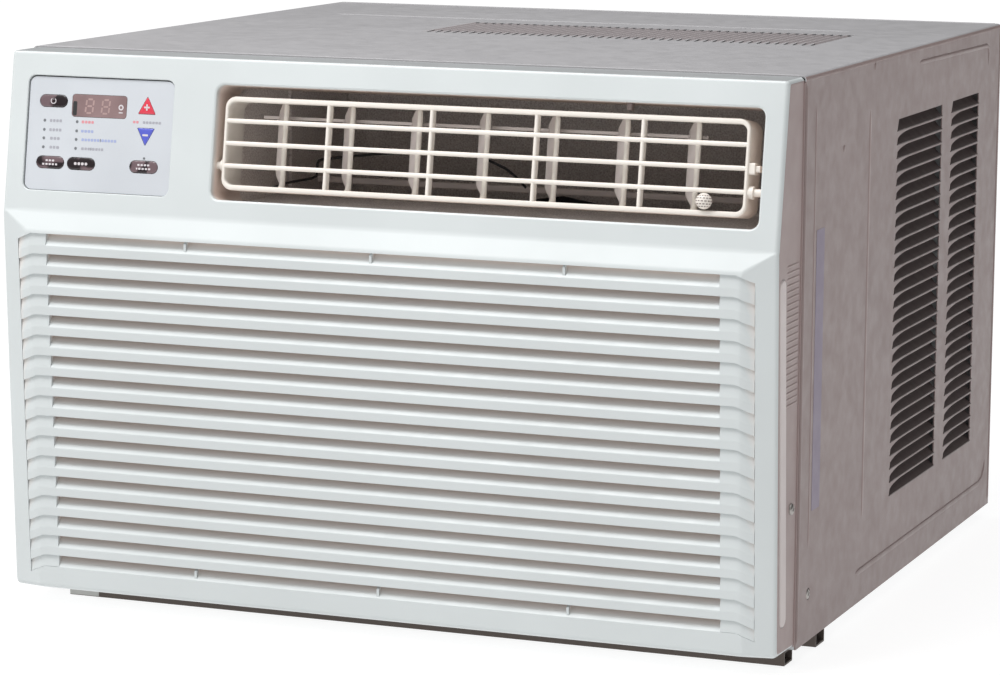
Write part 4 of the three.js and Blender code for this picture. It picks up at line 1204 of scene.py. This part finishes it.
def roof_bend(side, radius, steps):
    """The bend at one side of the roof, from the flat of the top down to the fold."""
    turns = [math.radians(90 * k / steps) for k in range(steps + 1)]
    return [(side * (HALF - BEND + radius * math.sin(a)), SHEET_TOP - BEND + radius * math.cos(a))
            for a in turns]


def cabinet_top():
    """Roof sheet, folded down at both sides over a soft bend, and the blades of its vent."""
    fold = SIDE_TOP + 0.05
    outline = roof_bend(1, BEND, 6) + [(HALF, fold), (HALF - SHEET, fold)]
    outline += roof_bend(1, BEND - SHEET, 4)[::-1] + roof_bend(-1, BEND - SHEET, 4)
    outline += [(-HALF + SHEET, fold), (-HALF, fold)] + roof_bend(-1, BEND, 6)[::-1]
    sheet = prism(outline, "y", 0.0, DEPTH)
    pitch = (TOP_RIGHT - TOP_LEFT) / TOP_SLOTS
    cuts, blades = [], []
    for i in range(TOP_SLOTS):
        x = TOP_LEFT + i * pitch
        opening = [(x + 4.6, TOP_FRONT), (x + pitch - 1.0, TOP_FRONT - 3), (x + pitch - 0.7, TOP_BACK),
                   (x + 2.5, TOP_BACK + 2), (x, TOP_BACK - 8), (x, TOP_FRONT + 34)]
        cuts.append(prism(opening, "z", TOP - 8, TOP + 4))
        section = [(x - 0.2, SHEET_TOP + 0.1), (x + 0.7, SHEET_TOP + 0.1), (x + 6.6, SHEET_TOP - 6.5),
                   (x + 5.8, SHEET_TOP - 6.5)]
        blades.append(prism(section, "y", TOP_FRONT + 2, TOP_BACK + 1))
    sheet = boolean(sheet, join(*cuts))
    up = (0, 0, 1)
    ridges = [
        bead(run((-263, 455, SHEET_TOP), (235, 455, SHEET_TOP), 10), 6, 0.55, up),
        bead(run((-HALF + 4, 2.2, SHEET_TOP), (HALF - 4, 2.2, SHEET_TOP), 2), 4, 0.55, up),
        bead(run((-HALF + 4, DEPTH - 3, SHEET_TOP), (HALF - 4, DEPTH - 3, SHEET_TOP), 2), 4, 0.5, up),
    ]
    return join(sheet, *ridges), join(*blades)


side_sheet, side_creases, side_blades = cabinet_side()
HANDS = (("right", lambda shape: shape), ("left", mirrored))
for side, flip in HANDS:
    piece(f"cabinet_{side}_sheet", flip(side_sheet), CABINET, "chassis", side_shade_enamel,
          [f"cabinet_{side}_side"])
    piece(f"{side}_side_creases", flip(side_creases), CABINET, "chassis", crease_highlight_enamel)
    piece(f"{side}_louvre_blades", flip(side_blades), CABINET, "chassis", side_vent_shade)
roof_sheet, roof_blades = cabinet_top()
roof = piece("cabinet_roof_sheet", roof_sheet, CABINET, "chassis", paint, ["cabinet_top"])
roof.data.materials.append(bend_shade_enamel)
# The faces of the bends that turn sideways take the painted shade.
STEEP = 0.75
for face in roof.data.polygons:
    at_bend = abs(face.center.x) > (HALF - BEND - 1) * MM
    face.material_index = int(at_bend and abs(face.normal.x) > STEEP)
piece("roof_louvre_blades", roof_blades, CABINET, "chassis", roof_vent_shade)

label = prism(rounded_box(35, 56, TOP - 342, TOP - 122, 1.5, 4), "x", HALF - 0.1, HALF + 0.2)
piece("blank_side_label", label, CABINET, "chassis", label_film)


def screw_shape(face, y, z, radius, head):
    """A pan head with a cross recess."""
    dome = [(radius, 0.0), (radius, 0.35 * head), (radius * 0.93, 0.6 * head), (radius * 0.75, 0.83 * head),
            (radius * 0.45, 0.96 * head), (0.2, head)]
    body = lathe(dome, 0, 0, 28)
    for angle in (20, 110):
        turn = Matrix.Rotation(math.radians(angle), 4, "Y")
        body = boolean(body, moved(block(-2.3, 2.3, 0.45 * head, head + 1, -0.45, 0.45), turn))
    return moved(body, Matrix.Translation((face, y, z)) @ Matrix.Rotation(math.radians(-90), 4, "Z"))


for side, flip in HANDS:
    case_screw = flip(screw_shape(HALF - 0.9, 31, 50, 4.4, 1.5))
    piece(f"case_screw_{side}", case_screw, CABINET, "chassis", zinc,
          [f"cabinet_screw_{side}"], limit=50)
    front_screw = flip(screw_shape(PANEL_HALF - 0.1, -15, 126, 4.5, 2.5))
    piece(f"front_screw_{side}", front_screw, CABINET, "chassis", zinc,
          [f"panel_screw_{side}"], limit=50)

dress("base_pan", galvanised, 0.3)
dress("rear_frame", paint, 0.4)
for node in ("front_rail", "middle_rail", "rear_rail"):
    dress(node, rail_paint, 0.5)
piece("front_rail_end", block(-299.2, -272, -6.4, 3, 0.4, 11.6), CABINET, "chassis", rail_cap,
      bevel=0.6)
dress("cord_gland", rubber, 0.5)


# ---- Coils ----------------------------------------------------------------------------
def finned_coil(node, spacing, tube_rows, tube_columns):
    """A pack of thin fins on copper hairpins whose bends stand out at both ends."""
    low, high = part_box(node)
    x0, x1 = low.x / MM, high.x / MM
    y0, y1 = low.y / MM, high.y / MM
    z0, z1 = low.z / MM, high.z / MM
    end = 7
    count = int((x1 - x0 - 2 * end) / spacing)
    plates = []
    for i in range(count + 1):
        x = x0 + end + i * spacing
        plates.append(block(x - 0.12, x + 0.12, y0, y1, z0, z1))
    for x in (x0 + end - 1.5, x1 - end + 1.5):
        plates.append(block(x - 0.6, x + 0.6, y0, y1, z0, z1))
    tubes = []
    radius = 4
    bend_radius = 0.4 * radius
    row_pitch = (z1 - z0) / tube_rows
    columns = [y0 + (c + 0.5) * (y1 - y0) / tube_columns for c in range(tube_columns)]
    for r in range(tube_rows):
        for y in columns:
            z = z0 + (r + 0.5) * row_pitch
            tubes.append(prism(circle(y, z, radius, 10), "x", x0 + end - 2, x1 - end + 2))
    for r in range(0, tube_rows - 1, 2):
        for y in columns:
            middle = z0 + (r + 1) * row_pitch
            for face, way in ((x0 + end - 2, -1), (x1 - end + 2, 1)):
                bend = []
                for k in range(7):
                    a = math.radians(180 * k / 6)
                    rise = middle - row_pitch / 2 * math.cos(a)
                    centre = Vector((face + way * 4.5 * math.sin(a), y, rise))
                    tangent = Vector((way * math.cos(a), 0, math.sin(a)))
                    across = Vector((0, 1, 0))
                    up = tangent.cross(across)
                    turns = [2 * math.pi * j / 8 for j in range(8)]
                    bend.append([centre + across * 0.9 * bend_radius * math.cos(t)
                                 + up * bend_radius * math.sin(t) for t in turns])
                tubes.append(loft(bend))
    return join(*plates), join(*tubes)


WORLD = Matrix.Scale(MM, 4)
for node, spacing, tube_rows in (("condenser_coil", 2.6, 16), ("evaporator_coil", 3.6, 12)):
    plates, hairpins = finned_coil(node, spacing, tube_rows, 2)
    piece(f"{node}_fins", plates, WORLD, "chassis", fins, [node])
    piece(f"{node}_hairpins", hairpins, WORLD, "chassis", copper, limit=60)


# ---- Inside ---------------------------------------------------------------------------
for node in ("bulkhead", "fan_shroud", "motor_mount", "control_box", "heater_element"):
    dress(node, galvanised, 0.3)
for node in ("discharge_tube", "suction_tube", "liquid_tube"):
    dress(node, copper, 0.2)
for node in ("compressor", "accumulator", "fan_motor"):
    dress(node, black_enamel, 1.0)
dress("motor_shaft", zinc, 0.3)
dress("blower_wheel", black_plastic, 0.3)
dress("condenser_fan", black_plastic, 0.4)
for node in ("discharge_duct", "blower_scroll", "evaporator_drain_pan"):
    dress(node, duct_foam, 0.6)
dress("run_capacitor", can_metal, 1.0)

# The lead starts in the wall of the discharge duct and its tail ends in the lip of the duct.
LEAD_DEPTH = 60
lead = [(-144.5, 341), (-136, 344), (-130, 346.5), (-107, 351.5), (-103, 353.5), (-102, 357),
        (-102, 363), (-101, 366), (-97, 367.7), (-50, 374), (-20, 377), (20, 378)]
lead_tail = [(42, 64, 375), (58, 73, 366), (67, 82, 356), (71, 88, 348)]
lead_path = [(x, LEAD_DEPTH, z) for x, z in lead] + lead_tail
piece("sensor_lead", cord(lead_path, 1.1), CABINET, "chassis", black_plastic)
piece("duct_lip", block(-114, 300, 86, 90.5, 345.5, 350.5), CABINET, "chassis", shaded_cream,
      bevel=0.8)
piece("louver_clip", block(198.5, 202.5, 8, 15, 98.5, 104.1), UPPER, "chassis", groove_shade,
      bevel=0.6)
dress("compressor_base", rubber, 0.6)


# ---- Floor, light and camera ----------------------------------------------------------
def floor():
    """A wide pale floor that glows a little, so that it is nearly white up to the horizon."""
    n = Nodes("pale_floor")
    n.colour(n.drift(3, (0.21, 0.21, 0.21), (0.23, 0.23, 0.23)))
    n.set(Roughness=0.9, Emission_Color=(1, 1, 1, 1), Emission_Strength=0.85)
    mesh = bpy.data.meshes.new("floor")
    reach = 40
    corners = [(-reach, -reach, 0), (reach, -reach, 0), (reach, reach, 0), (-reach, reach, 0)]
    mesh.from_pydata(corners, [], [(0, 1, 2, 3)])
    mesh.materials.append(n.material)
    obj = bpy.data.objects.new("floor", mesh)
    bpy.context.scene.collection.objects.link(obj)


def direction(azimuth, elevation):
    """From the object towards a light. Azimuth 0 is in front, positive to the right."""
    a, e = math.radians(azimuth), math.radians(elevation)
    return Vector((math.sin(a) * math.cos(e), -math.cos(a) * math.cos(e), math.sin(e)))


def softbox(name, azimuth, elevation, distance, size, power):
    """An area light that faces the middle of the object."""
    data = bpy.data.lights.new(name, "AREA")
    data.shape = "RECTANGLE"
    data.size, data.size_y = size
    data.energy = power
    obj = bpy.data.objects.new(name, data)
    away = direction(azimuth, elevation)
    obj.location = Vector((0, 0, 0.22)) + away * distance
    obj.rotation_mode = "QUATERNION"
    obj.rotation_quaternion = away.to_track_quat("Z", "Y")
    bpy.context.scene.collection.objects.link(obj)


def studio_dome(azimuth, elevation, low, high):
    """A dome of light that is brightest round one direction and fades smoothly away from it."""
    sky = bpy.data.worlds.new("studio")
    sky.use_nodes = True
    tree = sky.node_tree
    back = tree.nodes["Background"]
    back.inputs["Color"].default_value = (1.0, 1.0, 1.0, 1)

    def step(kind, operation, source, *constants):
        """A node that works on source, with constants in its other inputs."""
        node = tree.nodes.new(kind)
        node.operation = operation
        tree.links.new(source, node.inputs[0])
        for k, constant in enumerate(constants, 1):
            node.inputs[k].default_value = constant
        return node.outputs["Value"]

    place = tree.nodes.new("ShaderNodeTexCoord").outputs["Generated"]
    facing = step("ShaderNodeVectorMath", "DOT_PRODUCT", place, direction(azimuth, elevation))
    lit = step("ShaderNodeMath", "MAXIMUM", facing, 0)
    squared = step("ShaderNodeMath", "POWER", lit, 2)
    level = step("ShaderNodeMath", "MULTIPLY_ADD", squared, high, low)
    tree.links.new(level, back.inputs["Strength"])
    bpy.context.scene.world = sky


def camera(place, yaw, pitch, roll, lens):
    """Looks along +y when its angles, in degrees, are 0. Yaw turns left, pitch looks down."""
    data = bpy.data.cameras.new("camera")
    data.lens = lens
    data.sensor_width = 36
    obj = bpy.data.objects.new("camera", data)
    obj.location = place
    turn = Matrix.Rotation(math.radians(yaw), 4, "Z") @ Matrix.Rotation(math.radians(90 - pitch), 4, "X")
    obj.rotation_euler = (turn @ Matrix.Rotation(math.radians(roll), 4, "Z")).to_euler()
    bpy.context.scene.collection.objects.link(obj)
    bpy.context.scene.camera = obj


floor()
studio_dome(azimuth=-42, elevation=72, low=0.03, high=1.6)
softbox("key_light", azimuth=-28, elevation=58, distance=2.2, size=(1.1, 0.8), power=30)
camera((1.11109, -2.87527, 0.68863), yaw=21.548, pitch=9.088, roll=0.370, lens=129.58)
bpy.context.scene.view_settings.view_transform = "Standard"
